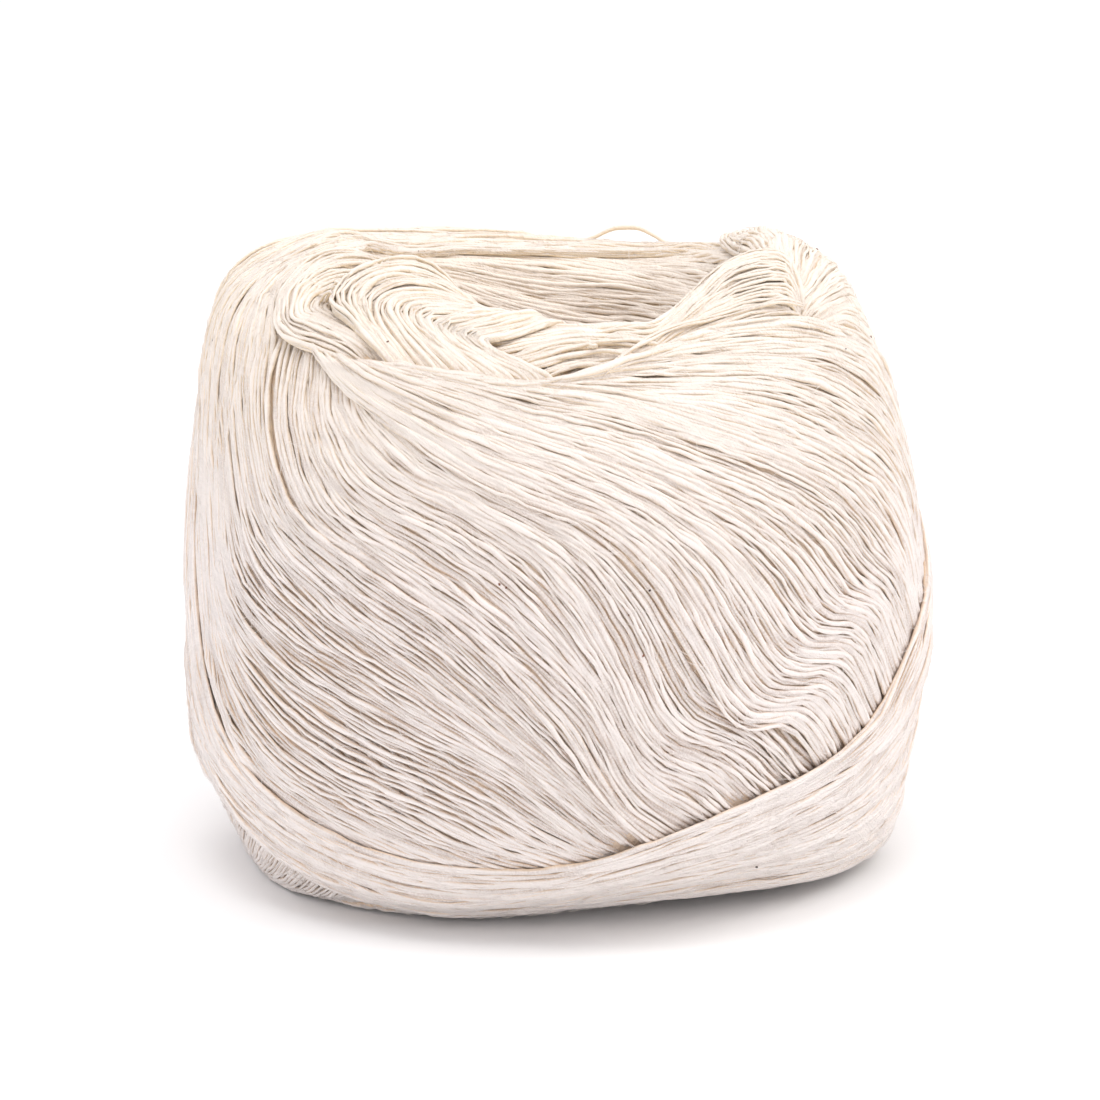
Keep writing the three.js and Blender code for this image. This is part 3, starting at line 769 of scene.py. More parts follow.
# %% Knuckle, whose threads dive into the fan on the right
KNUCKLE = [
    [(6, 4.1), (16, 4.35, 0.2), (24, 4.55, 0.5), (33, 4.4, 1.0), (41, 4.25, 1.6), (49, 4.15, 2.0),
     (56, 4.2, 2.2), (62, 4.33, 2.1), (65.5, 4.5, 1.9), (66, 4.65, 1.5), (63.5, 4.82, 1.0),
     (59.5, 5.14, 0.2)],
    [(6, 4.5), (14, 4.7, 0.2), (21, 4.83, 0.5), (29, 4.65, 1.0), (36.5, 4.5, 1.5), (44.5, 4.4, 1.8),
     (51.5, 4.37, 2.0), (57.5, 4.46, 1.9), (61, 4.58, 1.7), (62.5, 4.72, 1.4), (61.5, 4.87, 0.9),
     (59, 5.16, 0.2)],
    [(5, 4.8), (12, 4.9, 0.2), (19, 4.94, 0.4), (26.5, 4.76, 0.8), (35, 4.6, 1.2), (42, 4.5, 1.5),
     (49, 4.5, 1.7), (54, 4.6, 1.6), (57.5, 4.7, 1.5), (59.5, 4.81, 1.2), (59.5, 4.93, 0.8),
     (58.5, 5.18, 0.2)],
    [(4, 5.0), (11, 5.03, 0.1), (18, 5.0, 0.3), (25, 4.83, 0.6), (32.5, 4.7, 1.0), (40, 4.62, 1.2),
     (46, 4.65, 1.3), (51, 4.72, 1.2), (54.5, 4.84, 1.1), (56.5, 4.94, 0.9), (57.3, 5.04, 0.6),
     (58, 5.2, 0.1)],
    [(2, 5.2), (9, 5.16, 0.1), (15, 5.07, 0.2), (22, 4.92, 0.4), (30, 4.77, 0.6), (38, 4.7, 0.8),
     (44, 4.72, 0.9), (49, 4.8, 0.9), (52, 4.9, 0.8), (55, 5.0, 0.6), (56.5, 5.08, 0.4), (58, 5.2, 0.1)],
    [(0, 5.35), (8, 5.28), (15, 5.2), (22, 5.06, 0.1), (30, 4.92, 0.2), (38, 4.86, 0.3), (45, 4.9, 0.4),
     (50, 4.97, 0.4), (53, 5.04, 0.4), (56, 5.12, 0.3), (58, 5.2, 0.2), (60, 5.28)],
]
wind("knuckle", "right_rim", KNUCKLE, pitch=0.52, twists=3, relief_depth=0.15, warm=0.5, tuck=(4, 2.5),
     stagger=(5, 0.4), step=0.7)

# %% [markdown]
# ## The front sweep
# The widest bundle fills the front. Its threads come out from the notch on the left of the rim, fan over the
# whole front and dive under the low band. Low on the right they all bend within a few millimetres, where they
# were once pulled over an edge, so the tenth place of the guides lies on that bend.

# %% Front sweep
FRONT_SWEEP = [
    [(-50, 5.6), (-45, 5.73), (-37, 5.92), (-26.5, 6.12), (-17, 6.34), (-7, 6.54), (3, 6.74), (11, 7.1),
     (18.5, 7.6), (26, 8.1), (35, 8.18), (42, 8.45), (50, 8.9)],
    [(-46.5, 5.59), (-41.5, 5.7), (-33, 5.83), (-22.5, 5.97), (-12, 6.15), (-1, 6.33), (9, 6.57),
     (17, 6.95), (25, 7.45), (33, 7.88), (43, 8.0), (50, 8.3), (58, 8.75)],
    [(-43, 5.57), (-37.5, 5.66), (-29.5, 5.71), (-18, 5.8), (-7, 5.95), (5, 6.15), (16, 6.45), (25, 6.82),
     (33, 7.2), (41, 7.55), (51, 7.7), (58, 8.1), (66, 8.55)],
    [(-39.5, 5.55), (-34, 5.6), (-26.5, 5.58), (-16, 5.58), (-4, 5.68), (9, 5.88), (21, 6.17), (32, 6.48),
     (42, 6.88), (52, 7.3), (61, 7.55), (67, 8.0), (74, 8.45)],
    [(-36, 5.5), (-30.5, 5.52), (-24, 5.46), (-14.5, 5.4), (-2, 5.42), (12, 5.53), (26, 5.86), (39, 6.22),
     (51, 6.62), (62, 7.05), (70, 7.4), (75, 7.85), (81, 8.3)],
    [(-24, 5.3), (-17, 5.42), (-9, 5.42), (-1, 5.38), (8, 5.35), (18, 5.4), (30, 5.55), (43, 5.9),
     (56, 6.35), (67, 6.75), (74, 7.15), (80, 7.65), (87, 8.15)],
    [(-15, 5.28), (-9, 5.4), (-3, 5.38), (5, 5.28), (14, 5.22), (25, 5.22), (37, 5.35), (49, 5.68),
     (61, 6.13), (72, 6.6), (79, 7.05), (86, 7.55), (93, 8.05)],
    [(-9, 5.25), (-4, 5.36), (2, 5.3), (10, 5.2), (19, 5.1), (29, 5.05), (41, 5.13), (53, 5.4), (65, 5.82),
     (76, 6.3), (83, 6.8), (91, 7.35), (99, 7.85)],
    [(-6, 5.22), (-1, 5.33), (5, 5.25), (13, 5.14), (22, 5.0), (32, 4.92), (44, 5.0), (56, 5.27),
     (68, 5.72), (80, 6.23), (88, 6.66), (98, 7.2), (109, 7.85)],
    [(-4, 5.2), (1, 5.3), (7, 5.2), (15, 5.1), (24, 4.95), (34, 4.84), (45, 4.93), (56, 5.16), (69, 5.62),
     (83, 6.1), (94, 6.48), (105, 7.0), (117, 7.65)],
]
wind("front sweep", "front_winding", FRONT_SWEEP, twists=12, relief_depth=0.25, sink=(1.4, 0.9), tuck=(4, 4),
     stagger=(0.8, 5))

# %% [markdown]
# ## The low band
# The last turns come down the left side, run along the bottom and climb the right side to the back. They lie
# over the ends of the front sweep, with a clear edge on the right, and are one with the older turns on the
# left, where they lie the same way.

# %% Low band
LOW_BAND = [
    [(-89, 5.6), (-87, 6.3), (-84, 7.1), (-79, 7.75), (-70, 8.3), (-56, 8.68), (-38, 8.98), (-19, 9.13),
     (0, 9.1), (14, 8.86), (28, 8.65), (42, 8.5), (55, 8.3), (66, 7.95), (77, 7.76), (89, 7.6), (108, 7.2),
     (130, 6.75), (155, 6.5), (180, 6.6), (202, 6.95)],
    [(-96, 5.8), (-94, 6.5), (-91, 7.25), (-85, 7.9), (-75, 8.4), (-60, 8.75), (-41, 9.06), (-22, 9.25),
     (-2, 9.22), (14, 8.98), (30, 8.78), (46, 8.62), (60, 8.4), (72, 8.12), (84, 7.85), (98, 7.55),
     (116, 7.2), (137, 6.93), (161, 6.85), (184, 7.05), (200, 7.45)],
    [(-101, 6.1), (-99, 6.8), (-96, 7.55), (-90, 8.1), (-80, 8.48), (-63, 8.82), (-44, 9.14), (-25, 9.38),
     (-6, 9.42), (14, 9.15), (33, 8.95), (50, 8.78), (65, 8.55), (78, 8.3), (91, 8.05), (105, 7.75),
     (123, 7.45), (144, 7.25), (167, 7.3), (187, 7.55), (200, 7.95)],
    [(-106, 6.4), (-104, 7.1), (-101, 7.8), (-94, 8.25), (-83, 8.56), (-66, 8.88), (-49, 9.24), (-30, 9.5),
     (-9, 9.66), (14, 9.5), (35, 9.25), (53, 9.08), (69, 8.88), (83, 8.6), (97, 8.35), (112, 8.05),
     (131, 7.8), (151, 7.65), (173, 7.75), (190, 8.05), (200, 8.4)],
    [(-110, 6.7), (-108, 7.4), (-104, 8.0), (-97, 8.38), (-85, 8.64), (-68, 8.93), (-53, 9.33),
     (-35, 9.68), (-12, 9.98), (12, 9.95), (36, 9.7), (56, 9.52), (73, 9.3), (88, 9.05), (103, 8.8),
     (120, 8.5), (139, 8.27), (159, 8.15), (178, 8.25), (192, 8.55), (201, 8.9)],
    [(-113, 7.0), (-111, 7.7), (-106, 8.15), (-98, 8.45), (-86, 8.7), (-69, 8.98), (-55, 9.4), (-38, 9.78),
     (-15, 10.15), (12, 10.4), (37, 10.35), (58, 10.2), (77, 10.0), (94, 9.75), (110, 9.5), (128, 9.2),
     (147, 8.95), (166, 8.8), (184, 8.85), (196, 9.1), (204, 9.4)],
]
wind("low band", "low_band", LOW_BAND, pitch=0.6, thread=0.18, twists=6, relief_depth=0.3, tuck=(40, 20),
     sink=(0.8, 0.8), stagger=(12, 8), step=1.6, sides=5)

# %% [markdown]
# ## Loose fibres
# Hand-spun cotton is hairy. Short fibres stand out of every thread and bridge the gaps beside it, which makes
# the ball look soft. Blender's own hair would suit, but it can't leave Blender as a mesh. So each fibre is a
# very thin tube, laid over a thread that shows, at a slant to it, with both ends sunk between the threads.

# %% Lay the loose fibres
FIBRE_TRIES = 13000
FIBRE_RADIUS = 0.026
FIBRE_HALF_LENGTHS = (0.7, 2.2)
FIBRE_SLANTS = (0.2, 1.1)
FIBRE_POINTS = 5
FIBRE_SHOWS = 0.35
FIBRE_RUNS = (1, 11.2)
FIBRE_BEND = 0.5
FIBRE_LIFT = 0.14
FIBRE_SINK = 0.2
LEAST_DEGREE = 0.05
LEAST_RUN = 1


def mm_per_degree_and_run():
    """How many mm one degree of azimuth and one run are, everywhere on the form."""
    degree = np.linalg.norm(np.roll(form, -1, axis=0) - np.roll(form, 1, axis=0), axis=-1) / 2
    one_run = np.linalg.norm(np.gradient(form, axis=1), axis=-1) * RUN_CELLS_EACH
    return np.maximum(degree, LEAST_DEGREE), np.maximum(one_run, LEAST_RUN)


MM_PER_DEGREE, MM_PER_RUN = mm_per_degree_and_run()


def places_on_threads(bundle, count):
    """Azimuth, run and heading at random places of a bundle's threads, where they show."""
    row = chance.integers(0, len(bundle["azimuth"]), count)
    column = chance.integers(1, bundle["azimuth"].shape[1] - 1, count)
    azimuth, run = bundle["azimuth"][row, column], bundle["run"][row, column]
    ahead = bundle["azimuth"][row, column + 1] - bundle["azimuth"][row, column - 1]
    down = bundle["run"][row, column + 1] - bundle["run"][row, column - 1]
    ahead = ahead * read_grid(MM_PER_DEGREE, azimuth, run)
    down = down * read_grid(MM_PER_RUN, azimuth, run)
    heading = np.arctan2(down, ahead)
    depth = read_grid(winding_height, azimuth, run) - bundle["height"][row, column]
    showing = (depth < FIBRE_SHOWS) & (run > FIBRE_RUNS[0]) & (run < FIBRE_RUNS[1])
    return np.stack((azimuth, run, heading), axis=-1)[showing]


def small_line(azimuth, run, aside, down):
    """Azimuth and run of places that lie so many mm beside and below a place."""
    degrees = aside / read_grid(MM_PER_DEGREE, azimuth, run)
    return azimuth + degrees, run + down / read_grid(MM_PER_RUN, azimuth, run)


def lay_fibres():
    """A short bent fibre over each picked place."""
    tops = [bundle for bundle in laid if bundle["top"]]
    thread_lengths = [bundle["lengths"][:, -1].sum() for bundle in tops]
    picked = np.concatenate([
        places_on_threads(bundle, int(FIBRE_TRIES * own / sum(thread_lengths)))
        for bundle, own in zip(tops, thread_lengths)])
    count = len(picked)
    azimuth, run, heading = picked.T[..., None]
    half_length = chance.uniform(*FIBRE_HALF_LENGTHS, (count, 1))
    share = np.linspace(-1, 1, FIBRE_POINTS)[None, :]
    turn = heading + chance.choice((-1, 1), (count, 1)) * chance.uniform(*FIBRE_SLANTS, (count, 1))
    along = share * half_length
    bent = chance.uniform(-FIBRE_BEND, FIBRE_BEND, (count, 1)) * along**2 / 2
    aside = along * np.cos(turn) - bent * np.sin(turn)
    below = along * np.sin(turn) + bent * np.cos(turn)
    azimuth, run = small_line(azimuth, run, aside, below)
    lift = chance.uniform(0, FIBRE_LIFT, (count, 1)) * (1 - share**2) - FIBRE_SINK * share**4
    height = pulled_tight(read_grid(winding_height, azimuth, run), 1) + lift
    plain = 0 * height
    laid.append(dict(
        piece="loose_fibres", azimuth=azimuth, run=run, height=height, radius=plain + FIBRE_RADIUS,
        lengths=plain + along, swelling=plain, tone=chance.normal(0, 1, (count, 1)), warm=0.3, sides=3,
        sway=plain, top=False))
    return count


print("loose fibres:", lay_fibres())

# %% [markdown]
# ## Loose strands and knots
# A few strands lie loose on the near rim, and one bows up over the far rim. Two tiny knots sit where a thread
# was tied. They come last, because they rest on everything else.

# %% Strands
STRANDS = (
    [(8, 5.25), (13, 5.04), (19, 4.9), (27, 4.78), (35, 4.73), (43, 4.74), (51, 4.88), (60, 5.1)],
    [(-9, 5.02), (-5, 4.92), (0, 4.82), (5, 4.8), (10, 4.82), (16, 4.85), (22, 4.93)],
    [(-8, 5.1), (-3, 4.98), (3, 4.91), (8, 4.92), (12, 4.98), (16, 5.1)],
    [(176, 4.55), (170, 4.52, 0.5), (164, 4.5, 1.4), (158, 4.5, 1.5), (153, 4.5, 0.9), (146, 4.48)],
)
STRAND_WIDTH_IN_RUNS = 0.035
for number, guide in enumerate(STRANDS):
    beside = [(place[0], place[1] + STRAND_WIDTH_IN_RUNS, *place[2:]) for place in guide]
    wind(f"strand {number + 1}", "loose_strands", [guide, beside], pitch=0.3, thread=0.17, lower=False,
         wander=0, stray=0.03, tuck=(5, 5), stagger=(0.3, 0.3), warm=0.5, step=0.6)

# %% Knots
KNOT_COLUMNS = ("azimuth", "run", "radius in mm", "turns")
KNOTS = ((7, 4.9, 0.3, 1.6), (37, 4.02, 0.4, 1.8))
KNOT_POINTS = 20
KNOT_LIFT = 0.05
KNOT_CLIMB = 0.3
KNOT_THREAD = THREAD * 0.9


def lay_knot(azimuth, run, radius, turns):
    """A thread wound round itself in a loop that climbs a little."""
    turn = 2 * math.pi * turns * np.linspace(0, 1, KNOT_POINTS)[None, :]
    aside, down = radius * np.cos(turn), radius * np.sin(turn)
    azimuth, run = small_line(azimuth + 0 * turn, run + 0 * turn, aside, down)
    height = read_grid(winding_height, azimuth, run) + KNOT_LIFT + KNOT_CLIMB * turn / turn.max()
    plain = 0 * turn
    laid.append(dict(
        piece="loose_strands", azimuth=azimuth, run=run, height=height, radius=plain + KNOT_THREAD,
        lengths=radius * turn, swelling=plain, tone=np.array([[0.5]]), warm=0.3, sides=6, sway=plain,
        top=False))


for row in KNOTS:
    lay_knot(*row)
print("knots:", len(KNOTS), "each with", ", ".join(KNOT_COLUMNS))

# %% [markdown]
# ## From lines to tubes
# Each thread becomes a tube, of five or six sides where it shows and four below. The rings stand square to
# the thread, and the seam of the tube is turned to the core, where it isn't seen. Parts that lie well below
# everything near them are left out, since nobody sees them. Every tube carries two UV maps: one in
# millimetres along the thread, for the twist of its fibres, and one that lays all threads side by side like
# the ribbons on a loom, so that colours can be baked without overlaps.

# %% Tubes
BURIED = 0.48
BURIED_REACH = (3, 6)
SUNK_DEPTH = 0.22
POINTED_END = 0.12
OVER_FLOOR = 0.9


def lowest_near(reach_around, reach_along):
    """The lowest height of the finished winding within a few cells of each place."""
    low = winding_height
    for axis, reach in ((0, reach_around), (1, reach_along)):
        low = np.min([np.roll(low, step, axis=axis) for step in range(-reach, reach + 1)], axis=0)
    return low


lowest_around = lowest_near(*BURIED_REACH)


def thread_frames(bundle):
    """Middle line of each thread in mm, with the directions out of the ball and across the thread."""
    normal = unit(read_grid(outward, bundle["azimuth"], bundle["run"]))
    middle = read_grid(core, bundle["azimuth"], bundle["run"]) + normal * bundle["height"][..., None]
    ahead = unit(np.gradient(middle, axis=1))
    across = unit(np.cross(ahead, normal))
    middle = middle + across * bundle["sway"][..., None]
    middle[..., 2] = np.maximum(middle[..., 2], bundle["radius"] * OVER_FLOOR)
    ahead = unit(np.gradient(middle, axis=1))
    across = unit(np.cross(ahead, normal))
    return middle, np.cross(across, ahead), across


def tube_parts(bundle):
    """Rings, faces and values of one bundle's tubes, without the parts that are buried."""
    middle, out, across = thread_frames(bundle)
    spots = bundle["azimuth"], bundle["run"]
    # The depth below the top of the winding becomes the sunk shade, which darkens deeper threads: painted
    # shade.
    depth = read_grid(winding_height, *spots) - bundle["height"] - bundle["radius"]
    seen = read_grid(lowest_around, *spots) - bundle["height"] - bundle["radius"] < BURIED
    keep = seen[:, :-1] | seen[:, 1:]
    used = np.zeros(seen.shape, bool)
    used[:, :-1] |= keep
    used[:, 1:] |= keep
    first = used & ~np.pad(keep, ((0, 0), (1, 0)))
    last = used & ~np.pad(keep, ((0, 0), (0, 1)))
    radius = np.where(first | last, bundle["radius"] * POINTED_END, bundle["radius"])
    sides = bundle["sides"]
    angle = 2 * math.pi * (np.arange(sides) / sides)
    ring = -np.cos(angle)[:, None, None, None] * out + np.sin(angle)[:, None, None, None] * across
    places = middle + ring * radius[..., None]
    return dict(
        piece=bundle["piece"], places=np.moveaxis(places, 0, 2), keep=keep, used=used, sides=sides,
        lengths=bundle["lengths"], slub=bundle["swelling"], sunk_shade=np.clip(depth / SUNK_DEPTH, 0, 1),
        tone=bundle["tone"] + 0 * radius, warm=bundle["warm"] + 0 * radius,
    )


# %% Join the tubes of a piece
VALUES = ("sunk_shade", "tone", "warm", "slub")
RIBBON_ROWS_SHARE = 0.75
RIBBON_MARGIN = 1.02
RIBBON_GAP = 0.04


def mesh_arrays(parts):
    """Joins the tubes of several bundles: vertices, quads, maps and the values at each vertex."""
    places, quads, along, values = [], [], [], {name: [] for name in VALUES}
    total = 0
    for part in parts:
        index = np.full(part["used"].shape, -1)
        index[part["used"]] = np.arange(part["used"].sum())
        places.append(part["places"][part["used"]].reshape(-1, 3))
        row, column = np.nonzero(part["keep"])
        sides = part["sides"]
        start, end = index[row, column] * sides, index[row, column + 1] * sides
        side = np.arange(sides)
        after = (side + 1) % sides
        corners = (start[:, None] + side, start[:, None] + after, end[:, None] + after, end[:, None] + side)
        quads.append(np.stack(corners, axis=-1).reshape(-1, 4) + total)
        along.append(np.stack((part["lengths"][row, column], part["lengths"][row, column + 1]), axis=-1))
        for name in VALUES:
            values[name].append(np.repeat(part[name][part["used"]], sides))
        total += part["used"].sum() * sides
    joined = {name: np.concatenate(rows) for name, rows in values.items()}
    return np.concatenate(places), np.concatenate(quads), corner_maps(along, parts), joined


def corner_maps(along, parts):
    """The thread map, in mm and turns, and the ribbon map, which fills the unit square row by row."""
    segments = sum(len(span) for span in along)
    rows = max(1, int(math.sqrt(segments * RIBBON_ROWS_SHARE) * RIBBON_MARGIN))
    in_row = math.ceil(segments / rows)
    threads, ribbons = [], []
    first = 0
    for span, part in zip(along, parts):
        side = np.arange(part["sides"])
        low, high = side / part["sides"], (side + 1) / part["sides"]
        thread = np.empty((len(span), len(side), 4, 2))
        thread[..., 0] = span[:, None, (0, 0, 1, 1)]
        thread[..., 1] = np.stack((low, high, high, low), axis=-1)
        row, column = np.divmod(first + np.arange(len(span)), in_row)
        ribbon = np.empty(thread.shape)
        ribbon[..., 0] = ((column[:, None] + np.array((0, 0, 1, 1))) / in_row)[:, None, :]
        inside = RIBBON_GAP + (1 - 2 * RIBBON_GAP) * thread[..., 1]
        ribbon[..., 1] = (row[:, None, None] + inside) / rows
        threads.append(thread.reshape(-1, 2))
        ribbons.append(ribbon.reshape(-1, 2))
        first += len(span)
    return (("OFBake", np.concatenate(ribbons)), ("thread", np.concatenate(threads)))


def mesh_object(name, places, faces, maps=(), values=()):
    """A smooth mesh object from arrays, in metres."""
    mesh = bpy.data.meshes.new(name)
    corners = faces.shape[1]
    mesh.vertices.add(len(places))
    mesh.vertices.foreach_set("co", (places * MM).astype(np.float32).ravel())
    mesh.loops.add(faces.size)
    mesh.loops.foreach_set("vertex_index", faces.astype(np.int32).ravel())
    mesh.polygons.add(len(faces))
    mesh.polygons.foreach_set("loop_start", np.arange(0, faces.size, corners, dtype=np.int32))
    mesh.polygons.foreach_set("use_smooth", np.ones(len(faces), bool))
    for map_name, uv in maps:
        layer = mesh.uv_layers.new(name=map_name)
        layer.uv.foreach_set("vector", uv.astype(np.float32).ravel())
    for value_name, numbers in values:
        attribute = mesh.attributes.new(value_name, "FLOAT", "POINT")
        attribute.data.foreach_set("value", numbers.astype(np.float32))
    mesh.update()
    mesh.validate()
    return in_scene(name, mesh)


# %% Skin every piece
all_parts = [tube_parts(bundle) for bundle in laid]
winding_pieces = []
triangles = 0
for piece_name in dict.fromkeys(bundle["piece"] for bundle in laid):
    places, quads, maps, values = mesh_arrays([part for part in all_parts if part["piece"] == piece_name])
    made = mesh_object(piece_name, places, quads, maps, values.items())
    winding_pieces.append(made)
    triangles += 2 * len(quads)
    print(f"{piece_name}: {2 * len(quads)} triangles")
print("thread in all:", triangles, "triangles")
over = winding_height - WINDING_DEPTH
print("winding against the form: mean", over.mean().round(2), "most", over.max().round(2), "mm")

# %% [markdown]
# ## The core
# Under the thread lies a plain closed body, so that no light comes through the gaps. It is the same form, a
# little smaller. Its cotton is a darker tan brown, painted shade for the bottom of the gaps.

# %% Core mesh
CORE_AZIMUTH_STEP = 3
CORE_RUN_STEP = 4
BEDDING_DEPTH = 0.31
BEDDING_REACH = (4, 5)
CORE_OVER_FLOOR = 0.3


def core_object():
    """A closed skin a little below the top of the winding."""
    bedding = core + outward * np.maximum(lowest_near(*BEDDING_REACH) - BEDDING_DEPTH, 0)[..., None]
    rings = bedding[::CORE_AZIMUTH_STEP, CORE_RUN_STEP:-CORE_RUN_STEP:CORE_RUN_STEP]
    count, deep = rings.shape[:2]
    places = np.concatenate((rings.reshape(-1, 3), bedding[:1, 0], bedding[:1, -1]))
    places[:, 2] = np.maximum(places[:, 2], CORE_OVER_FLOOR)
    column, row = np.meshgrid(np.arange(count), np.arange(deep - 1), indexing="ij")
    beside = (column + 1) % count
    quads = np.stack((column * deep + row, column * deep + row + 1,
                      beside * deep + row + 1, beside * deep + row), axis=-1).reshape(-1, 4)
    mesh = bpy.data.meshes.new("core")
    ring = np.arange(count)
    after = (ring + 1) % count
    top = [(count * deep, b * deep, a * deep) for a, b in zip(ring, after)]
    bottom = [(count * deep + 1, a * deep + deep - 1, b * deep + deep - 1) for a, b in zip(ring, after)]
    faces = [tuple(int(i) for i in face) for face in [*quads.tolist(), *top, *bottom]]
    mesh.from_pydata((places * MM).tolist(), [], faces)
    mesh.update()
    mesh.polygons.foreach_set("use_smooth", np.ones(len(mesh.polygons), bool))
    return in_scene("core", mesh)


core_piece = core_object()
print("core:", len(core_piece.data.polygons), "faces")

# %% [markdown]
# ## Cotton
# Raw cotton is a warm, slightly grey cream. Its tone changes from thread to thread and along each thread, and
# thick soft places look paler. Shade is painted into the colour too: threads that lie deep in the winding are
# greyer, and the flanks of the tubes, at the gaps between turns, browner. Near the top both are painted
# lighter and the cotton warmer, which is painted light. The fibres run around the thread in a steep spiral,
# which only shows as a fine silky relief. One node group holds the tone, which the thread, the core and the
# loose fibres share, and another the spun fibres of the thread.

# %% Node helpers
def group(name, inputs, outputs):
    """A new shader node group with its sockets."""
    made = bpy.data.node_groups.new(name, "ShaderNodeTree")
    for socket, kind, default in inputs:
        item = made.interface.new_socket(socket, in_out="INPUT", socket_type=kind)
        item.default_value = default
    for socket, kind in outputs:
        made.interface.new_socket(socket, in_out="OUTPUT", socket_type=kind)
    return made, made.nodes.new("NodeGroupInput"), made.nodes.new("NodeGroupOutput")


def node(tree, kind, links=(), **settings):
    """A node with its settings, and its inputs linked or set."""
    made = tree.nodes.new(kind)
    for key, value in settings.items():
        setattr(made, key, value)
    for key, value in dict(links).items():
        if isinstance(value, bpy.types.NodeSocket):
            tree.links.new(value, made.inputs[key])
        else:
            made.inputs[key].default_value = value
    return made


def maths(tree, operation, first, second=0.0, third=0.0):
    """One step of arithmetic."""
    return node(tree, "ShaderNodeMath", {0: first, 1: second, 2: third}, operation=operation).outputs[0]


def mixed(tree, factor, first, second, blend="MIX"):
    """Two colours mixed."""
    sockets = {"Factor": factor, 6: first, 7: second}
    return node(tree, "ShaderNodeMix", sockets, data_type="RGBA", blend_type=blend).outputs[2]


def ranged(tree, value, low, high):
    """A value's place between two limits, from 0 to 1."""
    return node(tree, "ShaderNodeMapRange", {"Value": value, "From Min": low, "From Max": high}).outputs[0]


def noise(tree, place, scale, detail, roughness=0.5):
    """The value of a noise texture."""
    sockets = {"Vector": place, "Scale": scale, "Detail": detail, "Roughness": roughness}
    return node(tree, "ShaderNodeTexNoise", sockets).outputs["Fac"]


# %% Group: spun fibres
def spun_fibres_group():
    """Fibres in a spiral around a thread: a height for the relief, a mask of the flanks for painted shade,
    and fuzz.
    """
    tree, given, out = group(
        "Spun fibres",
        (("Twist length", "NodeSocketFloat", 2.2), ("Fibres around", "NodeSocketFloat", 6.0),
         ("Fibre stretch", "NodeSocketFloat", 0.5)),
        (("Height", "NodeSocketFloat"), ("Flank", "NodeSocketFloat"), ("Fuzz", "NodeSocketFloat")))
    place = node(tree, "ShaderNodeUVMap", uv_map="thread").outputs["UV"]
    split = node(tree, "ShaderNodeSeparateXYZ", {0: place}).outputs
    turn = maths(tree, "DIVIDE", split["X"], given.outputs["Twist length"])
    helix = maths(tree, "ADD", turn, split["Y"])
    sideways = maths(tree, "MULTIPLY", helix, given.outputs["Fibres around"])
    lengthways = maths(tree, "MULTIPLY", split["X"], given.outputs["Fibre stretch"])
    streak_place = node(tree, "ShaderNodeCombineXYZ", {"X": lengthways, "Y": sideways}).outputs[0]
    streaks = noise(tree, streak_place, 1.6, 3.0, 0.6)
    lump_place = node(tree, "ShaderNodeCombineXYZ", {"X": split["X"], "Y": helix}).outputs[0]
    lumps = noise(tree, lump_place, 1.9, 2.0)
    tree.links.new(maths(tree, "MULTIPLY_ADD", lumps, 1.4, streaks), out.inputs["Height"])
    hatch_place = node(tree, "ShaderNodeCombineXYZ", {
        "X": maths(tree, "MULTIPLY", split["X"], 5.0),
        "Y": maths(tree, "MULTIPLY", split["Y"], 2.0)}).outputs[0]
    tree.links.new(noise(tree, hatch_place, 1.0, 2.0), out.inputs["Fuzz"])
    # The flanks of each tube, where the gaps between turns are, are where the cotton tone paints shade.
    from_top = maths(tree, "ABSOLUTE", maths(tree, "SUBTRACT", split["Y"], 0.5))
    tree.links.new(ranged(tree, from_top, 0.12, 0.27), out.inputs["Flank"])
    return tree


